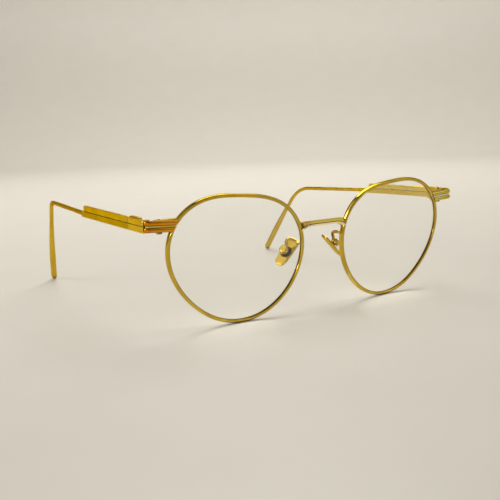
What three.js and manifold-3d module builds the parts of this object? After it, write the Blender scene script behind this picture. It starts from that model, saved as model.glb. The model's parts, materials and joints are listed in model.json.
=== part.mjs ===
// Round metal eyeglasses, standing open on their rims and on the tips of their temples.
//
// Millimetres, +Z up. The front faces -Y, the temples run back along +Y and +X is the wearer's left.
// Every piece of a side is described once, for the wearer's left, and mirrored for the right.

import * as THREE from "three";
import { mergeVertices } from "three/addons/utils/BufferGeometryUtils.js";
import Module from "manifold-3d";

const wasm = await Module();
wasm.setup();

const degrees = THREE.MathUtils.degToRad;

// Clearances, and how far a cutting shape runs past the piece it cuts
const BRAZE_GAP = 0.12;
const THREAD_GAP = 0.06;
const RUN_PAST = 1;

// Rim outline: a mean radius and four gentle waves that make it a soft round shape
const RIM_RADIUS = 24.28;
const RIM_WIDER_THAN_HIGH = 0.072;
const RIM_LEAN = 0.033;
const RIM_FLAT_TOP = 0.044;
const RIM_SQUARENESS = -0.006;
const RIM_STEPS = 64;
const RIM_WIDTH = 1.3;
const RIM_DEPTH = 1.9;
const RIM_CHAMFER = 0.3;
const GROOVE_WIDTH = 1.0;
const GROOVE_DEPTH = 0.4;
const SLIT_ANGLE = degrees(29.5);
const SLIT_GAP = 0.25;
const ROOM_HALF_SPAN = degrees(42);
const ROOM_STEPS = 24;
const WINDOW_REACH = 5;

// How the two rims sit in the front
const LENS_CENTRE_X = 35.1;
const WRAP = degrees(3.9);
const TILT = degrees(5.2);

// Lens
const LENS_THICKNESS = 1.6;
const LENS_DOME = 2.2;
const LENS_EDGE_INSET = 0.85;
const LENS_BEVEL_INSET = 0.35;
const LENS_BEVEL_HALF_WIDTH = 0.42;
const LENS_FACE_RINGS = [0.35, 0.7, 1];

// Bridge
const BRIDGE_TOP_Z = 33.65;
const BRIDGE_HEIGHT = 1.9;
const BRIDGE_FRONT_Y = -3.5;
const BRIDGE_BACK_Y = -1.6;
const BRIDGE_HALF_LENGTH = 10.4;
const BRIDGE_FLARE = 2.25;
const BRIDGE_FLARE_START = 5.8;
const BRIDGE_STEPS = 20;
const BRIDGE_RIDGE_UP = 0.5;
const BRIDGE_TOP_BACK = 0.37;
const BRIDGE_FOOT_BACK = 0.25;

// End piece: two half-round bars with a recessed strip between them, turned back at the corner
const END_INNER_Z = 37.05;
const END_OUTER_Z = 37.65;
const END_HEIGHT = 3.8;
const BAR_HEIGHT = 1.55;
const BAR_STEPS = 6;
const BAR_SIDE_DEPTH = 1.05;
const BAR_CREST_DEPTH = 1.55;
const RECESS_DEPTH = 1.15;
const RECESS_ROOT_DEPTH = 0.2;
const RECESS_LAP = 0.05;
const END_BACK_Y = 0.25;
const END_INNER_X = 56;
const END_OUTER_X = 69.35;
const END_INNER_RADIUS = 0.15;
const END_BUTT_Y = 1.2;
const CORNER_STEPS = 6;

// Closing block and its screw
const CLOSING_BOTTOM_Z = 35.25;
const CLOSING_TOP_Z = 39.35;
const CLOSING_OUTER_X = 65.0;
const CLOSING_FRONT_Y = 1.0;
const CLOSING_BACK_Y = 3.1;
const CLOSING_SCREW_X = 63.6;
const CLOSING_SCREW_RADIUS = 0.7;
const CLOSING_HEAD_RADIUS = 1.0;
const CLOSING_TIP_PROUD = 0.2;

// Hinge: two knuckles on the front, one on the temple, and the screw they turn on
const HINGE_X = 67.0;
const HINGE_Y = 4.0;
const KNUCKLE_RADIUS = 1.2;
const HINGE_BOTTOM_Z = 35.9;
const HINGE_TOP_Z = 38.9;
const MIDDLE_KNUCKLE_HEIGHT = 1.1;
const KNUCKLE_GAP = 0.1;
const LEAF_INNER_X = 65.4;
const LEAF_OUTER_X = 67.2;
const LEAF_FRONT_Y = 1.15;
const LEAF_BACK_Y = 2.6;
const TAB_FRONT_Y = 3.0;
const HINGE_SCREW_RADIUS = 0.6;
const HINGE_HEAD_RADIUS = 1.05;
const HINGE_TIP_PROUD = 0.15;

// Screw heads
const HEAD_HEIGHT = 0.5;
const SLOT_WIDTH = 0.3;
const SLOT_DEPTH = 0.25;
const ROUND_STEPS = 20;

// Temple: front block, upper strip and the wire that starts as the lower strip
const TEMPLE_CENTRE_Z = 37.7;
const TEMPLE_INNER_X = 68.55;
const TEMPLE_THICKNESS = 1.15;
const TEMPLE_HEIGHT = 4.4;
const UPPER_STRIP_HEIGHT = 2.05;
const STRIP_GAP = 0.15;
const STRIP_BEVEL = 0.15;
const STRIP_END_RADIUS = 0.9;
const BLOCK_FRONT_Y = 1.55;
const BLOCK_BACK_Y = 12.95;
const SEAM_GAP = 0.25;
const UPPER_STRIP_BACK_Y = 51.65;
const LOWER_STRIP_BACK_Y = 53.4;
const HOUSING_INNER_X = 67.45;
const HOUSING_FRONT_Y = 6.2;
const HOUSING_BACK_Y = 12.6;
const HOUSING_HEIGHT = 5.0;
const BLOCK_GROOVE = 0.25;

// How each temple is set: both a little outward, one a touch higher, its wire bent tighter and bowed more
const TEMPLE_SPLAY = degrees(1.5);
const LEFT_TEMPLE = { rise: degrees(-0.75), elbowRadius: 17, dropBow: 0.5 };
const RIGHT_TEMPLE = { rise: degrees(1.45), elbowRadius: 7, dropBow: 1.3 };

// Temple wire behind the strips: a straight run to an elbow, then a drop that bows back and swells
const WIRE_RADIUS = 0.85;
const WIRE_TAPER_LENGTH = 0.8;
const ELBOW = new THREE.Vector3(63.75, 103.8, 36.05);
const ELBOW_STEPS = 7;
const TIP = new THREE.Vector3(60.6, 127.1, 0.322);
const DROP_STEPS = 7;
const SWELL_START = 0.24;
const SWELL_END = 0.65;
const PADDLE_WIDTH = 2.78;
const PADDLE_THICKNESS = 2.44;
const PADDLE_CHAMFER = 0.72;
const TIP_ROUNDING = 0.04;
const SHOULDER_ROUNDING = 0.013;
const SHOULDER_SHRINK = 0.82;
const TIP_SHRINK = 0.4;

// Nose pads: thin plates with rounded corners on stems, held in round boxes at the ends of looped arms
const PAD_CENTRE = new THREE.Vector3(10.8, 5.9, 21.8);
const PAD_FRONTAL_ANGLE = degrees(43);
const PAD_SPLAY_ANGLE = degrees(15);
const PAD_LENGTH = 11.3;
const PAD_WIDTH = 5.3;
const PAD_TAPER = 0.42;
const PAD_THICKNESS = 0.9;
const PAD_BEVEL = 0.2;
const PAD_STEPS = 32;
const PAD_SQUARENESS = 0.5;
const STEM_WIDTH = 0.9;
const STEM_LENGTH = 1.3;
const STEM_TIP = 2.4;
const BOX_RADIUS = 1.7;
const BOX_FROM = 1.2;
const BOX_TO = 3.05;
const BOX_ROOF = 0.42;
const BOX_SLOT_WIDTH = 1.2;
const BOX_SLOT_LENGTH = 2.3;
const DIMPLE_RADIUS = 0.4;
const DIMPLE_DEPTH = 0.2;
const PAD_PIVOT = 1.8;
const PAD_SCREW_RADIUS = 0.38;
const PAD_HEAD_RADIUS = 0.65;
const PAD_HEAD_HEIGHT = 0.4;
const PAD_SLOT_DEPTH = 0.16;
const ARM_RADIUS = 0.58;
const ARM_STEPS = 18;
// The arms are bent by hand to suit the nose, so the two differ. Both routes are given for the wearer's left.
const LEFT_ARM_ROUTE = [
  [9.3, -1.4, 27.9],
  [9.2, 0.4, 27.9],
  [9.4, 2.6, 27.7],
  [10.0, 4.4, 27.0],
  [10.8, 5.2, 25.9],
];
const RIGHT_ARM_ROUTE = [
  [9.1, -1.0, 25.8],
  [9.3, 0.6, 26.0],
  [10.0, 2.9, 26.9],
  [10.7, 4.6, 27.1],
  [11.0, 5.4, 26.2],
];
const ARM_INTO_BOX = 0.5;

// Materials
const gold = new THREE.MeshStandardMaterial({ color: 0xc9a64e, metalness: 1, roughness: 0.28 });
const deepGold = new THREE.MeshStandardMaterial({ color: 0xb98e38, metalness: 1, roughness: 0.35 });
const screwSteel = new THREE.MeshStandardMaterial({ color: 0xb7a878, metalness: 1, roughness: 0.4 });
const clearLens = new THREE.MeshStandardMaterial({
  color: 0xeef3f2,
  metalness: 0,
  roughness: 0.05,
  transparent: true,
  opacity: 0.2,
});

// Solids from points and triangles

function facingOut(geometry) {
  const places = geometry.getAttribute("position");
  const index = geometry.getIndex();
  const corner = [new THREE.Vector3(), new THREE.Vector3(), new THREE.Vector3()];
  let volume = 0;
  for (let i = 0; i < index.count; i += 3) {
    corner.forEach((point, k) => point.fromBufferAttribute(places, index.getX(i + k)));
    volume += corner[0].dot(corner[1].clone().cross(corner[2]));
  }
  if (volume < 0) {
    for (let i = 0; i < index.count; i += 3) {
      const second = index.getX(i + 1);
      index.setX(i + 1, index.getX(i + 2));
      index.setX(i + 2, second);
    }
  }
  return geometry;
}

function fromPoints(points, triangles) {
  const geometry = new THREE.BufferGeometry().setFromPoints(points);
  geometry.setIndex(triangles);
  return facingOut(geometry);
}

// A closed solid through a row of rings that all follow the same section.
function loft(rings, section) {
  const count = section.length;
  const triangles = [];
  for (let span = 0; span + 1 < rings.length; span += 1) {
    const here = span * count;
    for (let i = 0; i < count; i += 1) {
      const j = (i + 1) % count;
      triangles.push(here + i, here + j, here + count + j);
      triangles.push(here + i, here + count + j, here + count + i);
    }
  }
  const last = (rings.length - 1) * count;
  const clockwise = THREE.ShapeUtils.isClockWise(section);
  for (const [a, b, c] of THREE.ShapeUtils.triangulateShape(section, [])) {
    const [second, third] = clockwise ? [c, b] : [b, c];
    triangles.push(a, third, second);
    triangles.push(last + a, last + second, last + third);
  }
  return fromPoints(rings.flat(), triangles);
}

function bare(geometry) {
  const copy = geometry.clone();
  copy.deleteAttribute("normal");
  copy.deleteAttribute("uv");
  return mergeVertices(copy, 1e-4);
}

function toSolid(geometry) {
  const merged = bare(geometry);
  const vertProperties = Float32Array.from(merged.getAttribute("position").array);
  const triVerts = Uint32Array.from(merged.getIndex().array);
  return new wasm.Manifold(new wasm.Mesh({ numProp: 3, vertProperties, triVerts }));
}

function toGeometry(solid) {
  const mesh = solid.getMesh();
  const geometry = new THREE.BufferGeometry();
  geometry.setAttribute("position", new THREE.BufferAttribute(mesh.vertProperties, 3));
  geometry.setIndex(new THREE.BufferAttribute(mesh.triVerts, 1));
  return geometry;
}

function join(...geometries) {
  return toGeometry(geometries.map(toSolid).reduce((whole, piece) => whole.add(piece)));
}

function cut(geometry, ...tools) {
  return toGeometry(tools.map(toSolid).reduce((whole, tool) => whole.subtract(tool), toSolid(geometry)));
}

// Blocks, rounds and outlines

function block([x0, x1], [y0, y1], [z0, z1]) {
  const geometry = new THREE.BoxGeometry(x1 - x0, y1 - y0, z1 - z0);
  return geometry.translate((x0 + x1) / 2, (y0 + y1) / 2, (z0 + z1) / 2);
}

function upright(radius, x, y, [z0, z1]) {
  const geometry = new THREE.CylinderGeometry(radius, radius, z1 - z0, ROUND_STEPS);
  return geometry.rotateX(Math.PI / 2).translate(x, y, (z0 + z1) / 2);
}

function crosswise(radius, x, [y0, y1]) {
  const geometry = new THREE.CylinderGeometry(radius, radius, y1 - y0, ROUND_STEPS);
  return geometry.translate(x, (y0 + y1) / 2, 0);
}

// An outline drawn in (x, z) and given a thickness along Y.
function slabAlongY(outline, y0, y1) {
  const geometry = new THREE.ExtrudeGeometry(new THREE.Shape(outline), {
    depth: y1 - y0,
    bevelEnabled: false,
  });
  return geometry.rotateX(Math.PI / 2).translate(0, y1, 0);
}

const ALONG_X = new THREE.Matrix4().makeBasis(
  new THREE.Vector3(0, 1, 0),
  new THREE.Vector3(0, 0, 1),
  new THREE.Vector3(1, 0, 0),
);

// An outline drawn in (y, z) and given a thickness along X, with its edges bevelled inside that size.
function slabAlongX(shape, x0, x1, bevel) {
  const geometry = new THREE.ExtrudeGeometry(shape, {
    depth: x1 - x0 - 2 * bevel,
    bevelThickness: bevel,
    bevelSize: bevel,
    bevelOffset: -bevel,
    bevelSegments: 1,
    curveSegments: 6,
  });
  return geometry.applyMatrix4(ALONG_X).translate(x0 + bevel, 0, 0);
}

// An eight-sided section: a flat bar with a small chamfer, or a round wire with a large one.
function eightSided(halfWidth, halfHeight, chamfer) {
  const w = halfWidth;
  const h = halfHeight;
  const c = chamfer;
  return [
    [w, c - h], [w, h - c], [w - c, h], [c - w, h],
    [-w, h - c], [-w, c - h], [c - w, -h], [w - c, -h],
  ].map(([x, y]) => new THREE.Vector2(x, y));
}

const OCTAGON_CHAMFER = 1 - Math.tan(Math.PI / 8);

function roundSection(radius) {
  return eightSided(radius, radius, radius * OCTAGON_CHAMFER);
}

// Rim and lens, drawn flat in their own (x, z) plane with x outward from the nose

function rimRadius(angle) {
  const waves = RIM_WIDER_THAN_HIGH * Math.cos(2 * angle)
    + RIM_LEAN * Math.sin(2 * angle)
    + RIM_FLAT_TOP * Math.sin(3 * angle)
    + RIM_SQUARENESS * Math.cos(4 * angle);
  return RIM_RADIUS * (1 + waves);
}

function rimCentre(angle) {
  const radius = rimRadius(angle);
  return new THREE.Vector2(radius * Math.cos(angle), radius * Math.sin(angle));
}

// A point beside the rim's centre line: outward in the lens plane, and back along Y.
function rimPoint(angle, outward, depth) {
  const step = 1e-4;
  const along = rimCentre(angle + step).sub(rimCentre(angle - step)).normalize();
  const middle = rimCentre(angle);
  return new THREE.Vector3(middle.x + along.y * outward, depth, middle.y - along.x * outward);
}

function rimSection(grow, groove) {
  const w = RIM_WIDTH / 2 + grow;
  const d = RIM_DEPTH / 2 + grow;
  const c = RIM_CHAMFER;
  const inside = groove
    ? [[-w, GROOVE_WIDTH / 2], [GROOVE_DEPTH - w, 0], [-w, -GROOVE_WIDTH / 2]]
    : [];
  const corners = [
    [w - c, -d], [w, c - d], [w, d - c], [w - c, d],
    [c - w, d], [-w, d - c], ...inside, [-w, c - d], [c - w, -d],
  ];
  return corners.map(([outward, depth]) => new THREE.Vector2(outward, depth));
}

function rimSweep(section, fromAngle, toAngle, steps) {
  const rings = [];
  for (let i = 0; i <= steps; i += 1) {
    const angle = fromAngle + ((toAngle - fromAngle) * i) / steps;
    rings.push(section.map((point) => rimPoint(angle, point.x, point.y)));
  }
  return loft(rings, section);
}

function makeRim() {
  const halfSlit = SLIT_GAP / 2 / rimRadius(SLIT_ANGLE);
  const from = SLIT_ANGLE + halfSlit;
  return rimSweep(rimSection(0, true), from, from + 2 * (Math.PI - halfSlit), RIM_STEPS);
}

// The room that the rim takes up on either side of an angle, for fitting other pieces to it.
function makeRimRoom(angle) {
  const section = rimSection(BRAZE_GAP, false);
  return rimSweep(section, angle - ROOM_HALF_SPAN, angle + ROOM_HALF_SPAN, ROOM_STEPS);
}

function outlineRing(outward, depth, scale) {
  const ring = [];
  for (let i = 0; i < RIM_STEPS; i += 1) {
    const point = rimPoint(SLIT_ANGLE + (2 * Math.PI * i) / RIM_STEPS, outward, 0);
    ring.push(new THREE.Vector3(point.x * scale, depth, point.z * scale));
  }
  return ring;
}

function flatOutline(ring) {
  return ring.map((point) => new THREE.Vector2(point.x, point.z));
}

function makeLens() {
  const half = LENS_THICKNESS / 2;
  const face = (side, scale) =>
    outlineRing(-LENS_EDGE_INSET, side * half - LENS_DOME * (1 - scale * scale), scale);
  const rings = [
    ...LENS_FACE_RINGS.map((scale) => face(1, scale)),
    outlineRing(-LENS_EDGE_INSET, LENS_BEVEL_HALF_WIDTH, 1),
    outlineRing(-LENS_BEVEL_INSET, 0, 1),
    outlineRing(-LENS_EDGE_INSET, -LENS_BEVEL_HALF_WIDTH, 1),
    ...LENS_FACE_RINGS.map((scale) => face(-1, scale)).reverse(),
  ];
  return loft(rings, flatOutline(rings[0]));
}

// Everything inside the rim's centre line, through the whole front.
function makeWindow() {
  const rings = [-WINDOW_REACH, WINDOW_REACH].map((depth) => outlineRing(0, depth, 1));
  return loft(rings, flatOutline(rings[0]));
}

// The front leans forward at the top, each rim wraps back at its outer end, and the rims touch z = 0.
const rimGeometry = makeRim();
const leaning = new THREE.Matrix4().makeRotationX(TILT);
const wrapping = new THREE.Matrix4().makeRotationZ(WRAP).setPosition(LENS_CENTRE_X, 0, 0);
const leaningRim = rimGeometry.clone().applyMatrix4(leaning.clone().multiply(wrapping));
leaningRim.computeBoundingBox();
const FRONT_HEIGHT = -leaningRim.boundingBox.min.z;
const raising = new THREE.Matrix4().makeTranslation(0, 0, FRONT_HEIGHT);
const inFront = raising.multiply(leaning).multiply(wrapping);
const mirrorX = new THREE.Matrix4().makeScale(-1, 1, 1);

const rimRoom = makeRimRoom(SLIT_ANGLE).applyMatrix4(inFront);
const nasalRimRoom = makeRimRoom(Math.PI).applyMatrix4(inFront);
const windowInFront = makeWindow().applyMatrix4(inFront);

function mirrored(geometry) {
  return facingOut(bare(geometry).applyMatrix4(mirrorX));
}

// Bridge: a bar with a ridge along its front, flaring down to the rims

function makeBridge() {
  const section = [
    [0, BRIDGE_RIDGE_UP],
    [BRIDGE_TOP_BACK, 1],
    [1, 1],
    [1, 0],
    [BRIDGE_FOOT_BACK, 0],
  ].map(([back, up]) => new THREE.Vector2(back, up));
  const depth = BRIDGE_BACK_Y - BRIDGE_FRONT_Y;
  const flareLength = BRIDGE_HALF_LENGTH - BRIDGE_FLARE_START;
  const rings = [];
  for (let i = 0; i <= BRIDGE_STEPS; i += 1) {
    const x = BRIDGE_HALF_LENGTH * ((2 * i) / BRIDGE_STEPS - 1);
    const flared = Math.max(0, Math.abs(x) - BRIDGE_FLARE_START) / flareLength;
    const height = BRIDGE_HEIGHT + BRIDGE_FLARE * flared * flared;
    rings.push(section.map(({ x: back, y: up }) =>
      new THREE.Vector3(x, BRIDGE_FRONT_Y + depth * back, BRIDGE_TOP_Z - height * (1 - up))));
  }
  return cut(loft(rings, section), nasalRimRoom, mirrored(nasalRimRoom));
}

// End piece

function barSection() {
  const low = -END_HEIGHT / 2;
  const points = [[0, -low], [0, low]];
  for (const centre of [low + BAR_HEIGHT / 2, -low - BAR_HEIGHT / 2]) {
    for (let i = 0; i <= BAR_STEPS; i += 1) {
      const turn = Math.PI * (i / BAR_STEPS - 0.5);
      const depth = BAR_SIDE_DEPTH + (BAR_CREST_DEPTH - BAR_SIDE_DEPTH) * Math.cos(turn);
      points.push([depth, centre + (BAR_HEIGHT / 2) * Math.sin(turn)]);
    }
  }
  return points.map(([depth, height]) => new THREE.Vector2(depth, height));
}

// The recessed strip between the two bars, proud of the line where the bars' sides end.
function recessStrip(stations) {
  const half = END_HEIGHT / 2 - BAR_HEIGHT + RECESS_LAP;
  const section = [
    [RECESS_ROOT_DEPTH, -half],
    [RECESS_DEPTH, -half],
    [RECESS_DEPTH, half],
    [RECESS_ROOT_DEPTH, half],
  ].map(([depth, height]) => new THREE.Vector2(depth, height));
  return loft(stations.map((station) => ringAt(station, section)), section);
}

// The section stands up on the line of the back face, and climbs as that line runs outward.
function ringAt({ x, y, turn }, section) {
  const climb = (x - END_INNER_X) / (END_OUTER_X - END_INNER_X);
  const middleZ = END_INNER_Z + (END_OUTER_Z - END_INNER_Z) * climb;
  return section.map(({ x: depth, y: height }) => new THREE.Vector3(
    x + depth * Math.sin(turn),
    y - depth * Math.cos(turn),
    middleZ + height,
  ));
}

// The back face follows the wrap of the front, then turns straight back towards the temple.
function makeEndPiece() {
  const backX = END_OUTER_X - BAR_CREST_DEPTH;
  const bendX = backX - END_INNER_RADIUS;
  const bendStartX = bendX + END_INNER_RADIUS * Math.sin(WRAP);
  const bendStartY = END_BACK_Y + (bendStartX - END_INNER_X) * Math.tan(WRAP);
  const bendY = bendStartY + END_INNER_RADIUS * Math.cos(WRAP);
  const stations = [{ x: END_INNER_X, y: END_BACK_Y, turn: WRAP }];
  for (let i = 0; i <= CORNER_STEPS; i += 1) {
    const turn = WRAP + (Math.PI / 2 - WRAP) * (i / CORNER_STEPS);
    const x = bendX + END_INNER_RADIUS * Math.sin(turn);
    const y = bendY - END_INNER_RADIUS * Math.cos(turn);
    stations.push({ x, y, turn });
  }
  stations.push({ x: backX, y: END_BUTT_Y, turn: Math.PI / 2 });
  const section = barSection();
  const bars = loft(stations.map((station) => ringAt(station, section)), section);
  return cut(join(bars, recessStrip(stations)), windowInFront, rimRoom);
}

// Closing block and screws

const slitPoint = rimPoint(SLIT_ANGLE, 0, 0).applyMatrix4(inFront);
const nearSlit = rimPoint(SLIT_ANGLE + degrees(5), 0, 0).applyMatrix4(inFront);
const rimSlope = (nearSlit.x - slitPoint.x) / (nearSlit.z - slitPoint.z);
const closingScrewY = (CLOSING_FRONT_Y + CLOSING_BACK_Y) / 2;

function makeClosingHalf(z0, z1) {
  const rimX = (z) => slitPoint.x + (z - slitPoint.z) * rimSlope;
  const outline = [[rimX(z0), z0], [CLOSING_OUTER_X, z0], [CLOSING_OUTER_X, z1], [rimX(z1), z1]]
    .map(([x, z]) => new THREE.Vector2(x, z));
  const holeRadius = CLOSING_SCREW_RADIUS + THREAD_GAP;
  const hole = upright(holeRadius, CLOSING_SCREW_X, closingScrewY, [z0 - RUN_PAST, z1 + RUN_PAST]);
  return cut(slabAlongY(outline, CLOSING_FRONT_Y, CLOSING_BACK_Y), rimRoom, hole);
}

// A slotted screw on an upright axis, whose head ends at headZ and whose shank ends at tipZ.
function makeUprightScrew(x, y, radius, headRadius, headZ, tipZ) {
  const into = Math.sign(tipZ - headZ);
  const seatZ = headZ + into * HEAD_HEIGHT;
  const slotZ = headZ + into * SLOT_DEPTH;
  const span = (a, b) => [Math.min(a, b), Math.max(a, b)];
  const screw = join(
    upright(headRadius, x, y, span(headZ, seatZ)),
    upright(radius, x, y, span((slotZ + seatZ) / 2, tipZ)),
  );
  const slotX = [x - headRadius - RUN_PAST, x + headRadius + RUN_PAST];
  const slotY = [y - SLOT_WIDTH / 2, y + SLOT_WIDTH / 2];
  return cut(screw, block(slotX, slotY, span(headZ - into * RUN_PAST, slotZ)));
}

function makeClosingScrew() {
  const headZ = CLOSING_BOTTOM_Z - HEAD_HEIGHT - KNUCKLE_GAP;
  const tipZ = CLOSING_TOP_Z + CLOSING_TIP_PROUD;
  return makeUprightScrew(
    CLOSING_SCREW_X, closingScrewY, CLOSING_SCREW_RADIUS, CLOSING_HEAD_RADIUS, headZ, tipZ);
}

// Hinge

const hingeMiddleZ = (HINGE_BOTTOM_Z + HINGE_TOP_Z) / 2;
const hingeBoreRadius = HINGE_SCREW_RADIUS + THREAD_GAP;

function makeHingeFront() {
  const wholeHeight = [HINGE_BOTTOM_Z, HINGE_TOP_Z];
  const leaf = block([LEAF_INNER_X, LEAF_OUTER_X], [LEAF_FRONT_Y, HINGE_Y], wholeHeight);
  const barrel = upright(KNUCKLE_RADIUS, HINGE_X, HINGE_Y, wholeHeight);
  const half = MIDDLE_KNUCKLE_HEIGHT / 2 + KNUCKLE_GAP;
  const reachOut = KNUCKLE_RADIUS + RUN_PAST;
  const middle = block(
    [LEAF_INNER_X - RUN_PAST, HINGE_X + reachOut],
    [LEAF_BACK_Y, HINGE_Y + reachOut],
    [hingeMiddleZ - half, hingeMiddleZ + half],
  );
  const boreHeight = [HINGE_BOTTOM_Z - RUN_PAST, HINGE_TOP_Z + RUN_PAST];
  const bore = upright(hingeBoreRadius, HINGE_X, HINGE_Y, boreHeight);
  return cut(join(leaf, barrel), middle, bore);
}

function makeHingeTemple() {
  const half = MIDDLE_KNUCKLE_HEIGHT / 2;
  const height = [hingeMiddleZ - half, hingeMiddleZ + half];
  const barrel = upright(KNUCKLE_RADIUS, HINGE_X, HINGE_Y, height);
  const tabBackY = HOUSING_FRONT_Y - BRAZE_GAP;
  const tab = block([HINGE_X, TEMPLE_INNER_X - BRAZE_GAP], [TAB_FRONT_Y, tabBackY], height);
  const boreHeight = [height[0] - RUN_PAST, height[1] + RUN_PAST];
  const bore = upright(hingeBoreRadius, HINGE_X, HINGE_Y, boreHeight);
  return cut(join(barrel, tab), bore);
}

function makeHingeScrew() {
  const headZ = HINGE_TOP_Z + HEAD_HEIGHT + KNUCKLE_GAP;
  return makeUprightScrew(
    HINGE_X, HINGE_Y, HINGE_SCREW_RADIUS, HINGE_HEAD_RADIUS, headZ, HINGE_BOTTOM_Z - HINGE_TIP_PROUD);
}

// Temple, drawn straight back from its hinge and then set at its angles

function templeSetting(rise) {
  const hinge = new THREE.Vector3(HINGE_X, HINGE_Y, TEMPLE_CENTRE_Z);
  const setting = new THREE.Matrix4().makeRotationZ(-TEMPLE_SPLAY);
  setting.multiply(new THREE.Matrix4().makeRotationX(rise)).setPosition(hinge);
  return setting.multiply(new THREE.Matrix4().makeTranslation(hinge.negate()));
}

const templeBottomZ = TEMPLE_CENTRE_Z - TEMPLE_HEIGHT / 2;
const templeTopZ = TEMPLE_CENTRE_Z + TEMPLE_HEIGHT / 2;
const templeOuterX = TEMPLE_INNER_X + TEMPLE_THICKNESS;
const upperStripZ = templeTopZ - UPPER_STRIP_HEIGHT;
const stripFrontY = BLOCK_BACK_Y + SEAM_GAP;

// The block carries on the groove between the two strips.
function makeFrontBlock() {
  const grooveZ = upperStripZ - STRIP_GAP / 2;
  const b = STRIP_BEVEL;
  const outline = [
    [TEMPLE_INNER_X, templeBottomZ],
    [templeOuterX - b, templeBottomZ],
    [templeOuterX, templeBottomZ + b],
    [templeOuterX, grooveZ - BLOCK_GROOVE],
    [templeOuterX - BLOCK_GROOVE, grooveZ],
    [templeOuterX, grooveZ + BLOCK_GROOVE],
    [templeOuterX, templeTopZ - b],
    [templeOuterX - b, templeTopZ],
    [TEMPLE_INNER_X, templeTopZ],
  ].map(([x, z]) => new THREE.Vector2(x, z));
  const housing = block(
    [HOUSING_INNER_X, TEMPLE_INNER_X + STRIP_BEVEL],
    [HOUSING_FRONT_Y, HOUSING_BACK_Y],
    [TEMPLE_CENTRE_Z - HOUSING_HEIGHT / 2, TEMPLE_CENTRE_Z + HOUSING_HEIGHT / 2],
  );
  return join(slabAlongY(outline, BLOCK_FRONT_Y, BLOCK_BACK_Y), housing);
}

function makeUpperStrip() {
  const r = STRIP_END_RADIUS;
  const shape = new THREE.Shape();
  shape.moveTo(stripFrontY, upperStripZ);
  shape.lineTo(UPPER_STRIP_BACK_Y, upperStripZ);
  shape.lineTo(UPPER_STRIP_BACK_Y, templeTopZ - r);
  shape.absarc(UPPER_STRIP_BACK_Y - r, templeTopZ - r, r, 0, Math.PI / 2);
  shape.lineTo(stripFrontY, templeTopZ);
  return slabAlongX(shape, TEMPLE_INNER_X, templeOuterX, STRIP_BEVEL);
}

// The size of the section at a share of the way down the drop: half thickness, half width and chamfer.
function dropSection(share) {
  const wire = [WIRE_RADIUS, WIRE_RADIUS, WIRE_RADIUS * OCTAGON_CHAMFER];
  const paddle = [PADDLE_THICKNESS / 2, PADDLE_WIDTH / 2, PADDLE_CHAMFER];
  const swell = THREE.MathUtils.clamp((share - SWELL_START) / (SWELL_END - SWELL_START), 0, 1);
  let shrink = 1;
  if (share > 1 - TIP_ROUNDING / 2) {
    shrink = share < 1 ? SHOULDER_SHRINK : TIP_SHRINK;
  }
  return eightSided(...wire.map((size, i) => shrink * THREE.MathUtils.lerp(size, paddle[i], swell)));
}

// Points along the wire's centre line with the section that it has there.
function wireStations(setting, { elbowRadius, dropBow }) {
  const stripHeight = TEMPLE_HEIGHT - UPPER_STRIP_HEIGHT - STRIP_GAP;
  const strip = eightSided(TEMPLE_THICKNESS / 2, stripHeight / 2, STRIP_BEVEL);
  const round = dropSection(0);

  const onTemple = (y, z) =>
    new THREE.Vector3(TEMPLE_INNER_X + TEMPLE_THICKNESS / 2, y, z).applyMatrix4(setting);
  const stripZ = templeBottomZ + stripHeight / 2;
  const wireZ = templeBottomZ + stripHeight - WIRE_RADIUS;
  const backward = new THREE.Vector3(0, 1, 0).transformDirection(setting);
  const wireStart = onTemple(LOWER_STRIP_BACK_Y + WIRE_TAPER_LENGTH, wireZ);
  const elbow = ELBOW.clone().applyMatrix4(setting);
  const run = elbow.clone().sub(wireStart).normalize();
  const fall = TIP.clone().sub(elbow);
  const dropPoint = (share) => elbow.clone().addScaledVector(fall, share)
    .addScaledVector(backward, dropBow * Math.sin(Math.PI * share));
  const dropWay = (share) => fall.clone()
    .addScaledVector(backward, dropBow * Math.PI * Math.cos(Math.PI * share)).normalize();

  const drop = dropWay(0);
  const bendAngle = run.angleTo(drop);
  const bendReach = elbowRadius * Math.tan(bendAngle / 2);
  const bendStart = elbow.clone().addScaledVector(run, -bendReach);
  const towardsCentre = drop.clone().addScaledVector(run, -drop.dot(run)).normalize();
  const stations = [
    { at: onTemple(stripFrontY, stripZ), along: backward, section: strip },
    { at: onTemple(LOWER_STRIP_BACK_Y, stripZ), along: backward, section: strip },
    { at: wireStart, along: run, section: round },
  ];
  for (let i = 0; i <= ELBOW_STEPS; i += 1) {
    const turn = bendAngle * (i / ELBOW_STEPS);
    const at = bendStart.clone();
    at.addScaledVector(run, elbowRadius * Math.sin(turn));
    at.addScaledVector(towardsCentre, elbowRadius * (1 - Math.cos(turn)));
    const along = run.clone().multiplyScalar(Math.cos(turn));
    along.addScaledVector(towardsCentre, Math.sin(turn));
    stations.push({ at, along, section: round });
  }
  const shares = [];
  for (let i = 0; i <= DROP_STEPS; i += 1) {
    shares.push(THREE.MathUtils.lerp(SWELL_START, 1 - TIP_ROUNDING, i / DROP_STEPS));
  }
  for (const share of [...shares, 1 - SHOULDER_ROUNDING, 1]) {
    stations.push({ at: dropPoint(share), along: dropWay(share), section: dropSection(share) });
  }
  return stations;
}

function makeTempleWire(setting, temple) {
  const sideways = new THREE.Vector3(1, 0, 0).transformDirection(setting);
  const stations = wireStations(setting, temple);
  const rings = stations.map(({ at, along, section }) => {
    const across = sideways.clone().addScaledVector(along, -sideways.dot(along)).normalize();
    const over = across.clone().cross(along);
    return section.map(({ x, y }) => at.clone().addScaledVector(across, x).addScaledVector(over, y));
  });
  return loft(rings, stations[0].section);
}

// Nose pad, in its own frame: the nose is towards -X, the long way is Z

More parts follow.
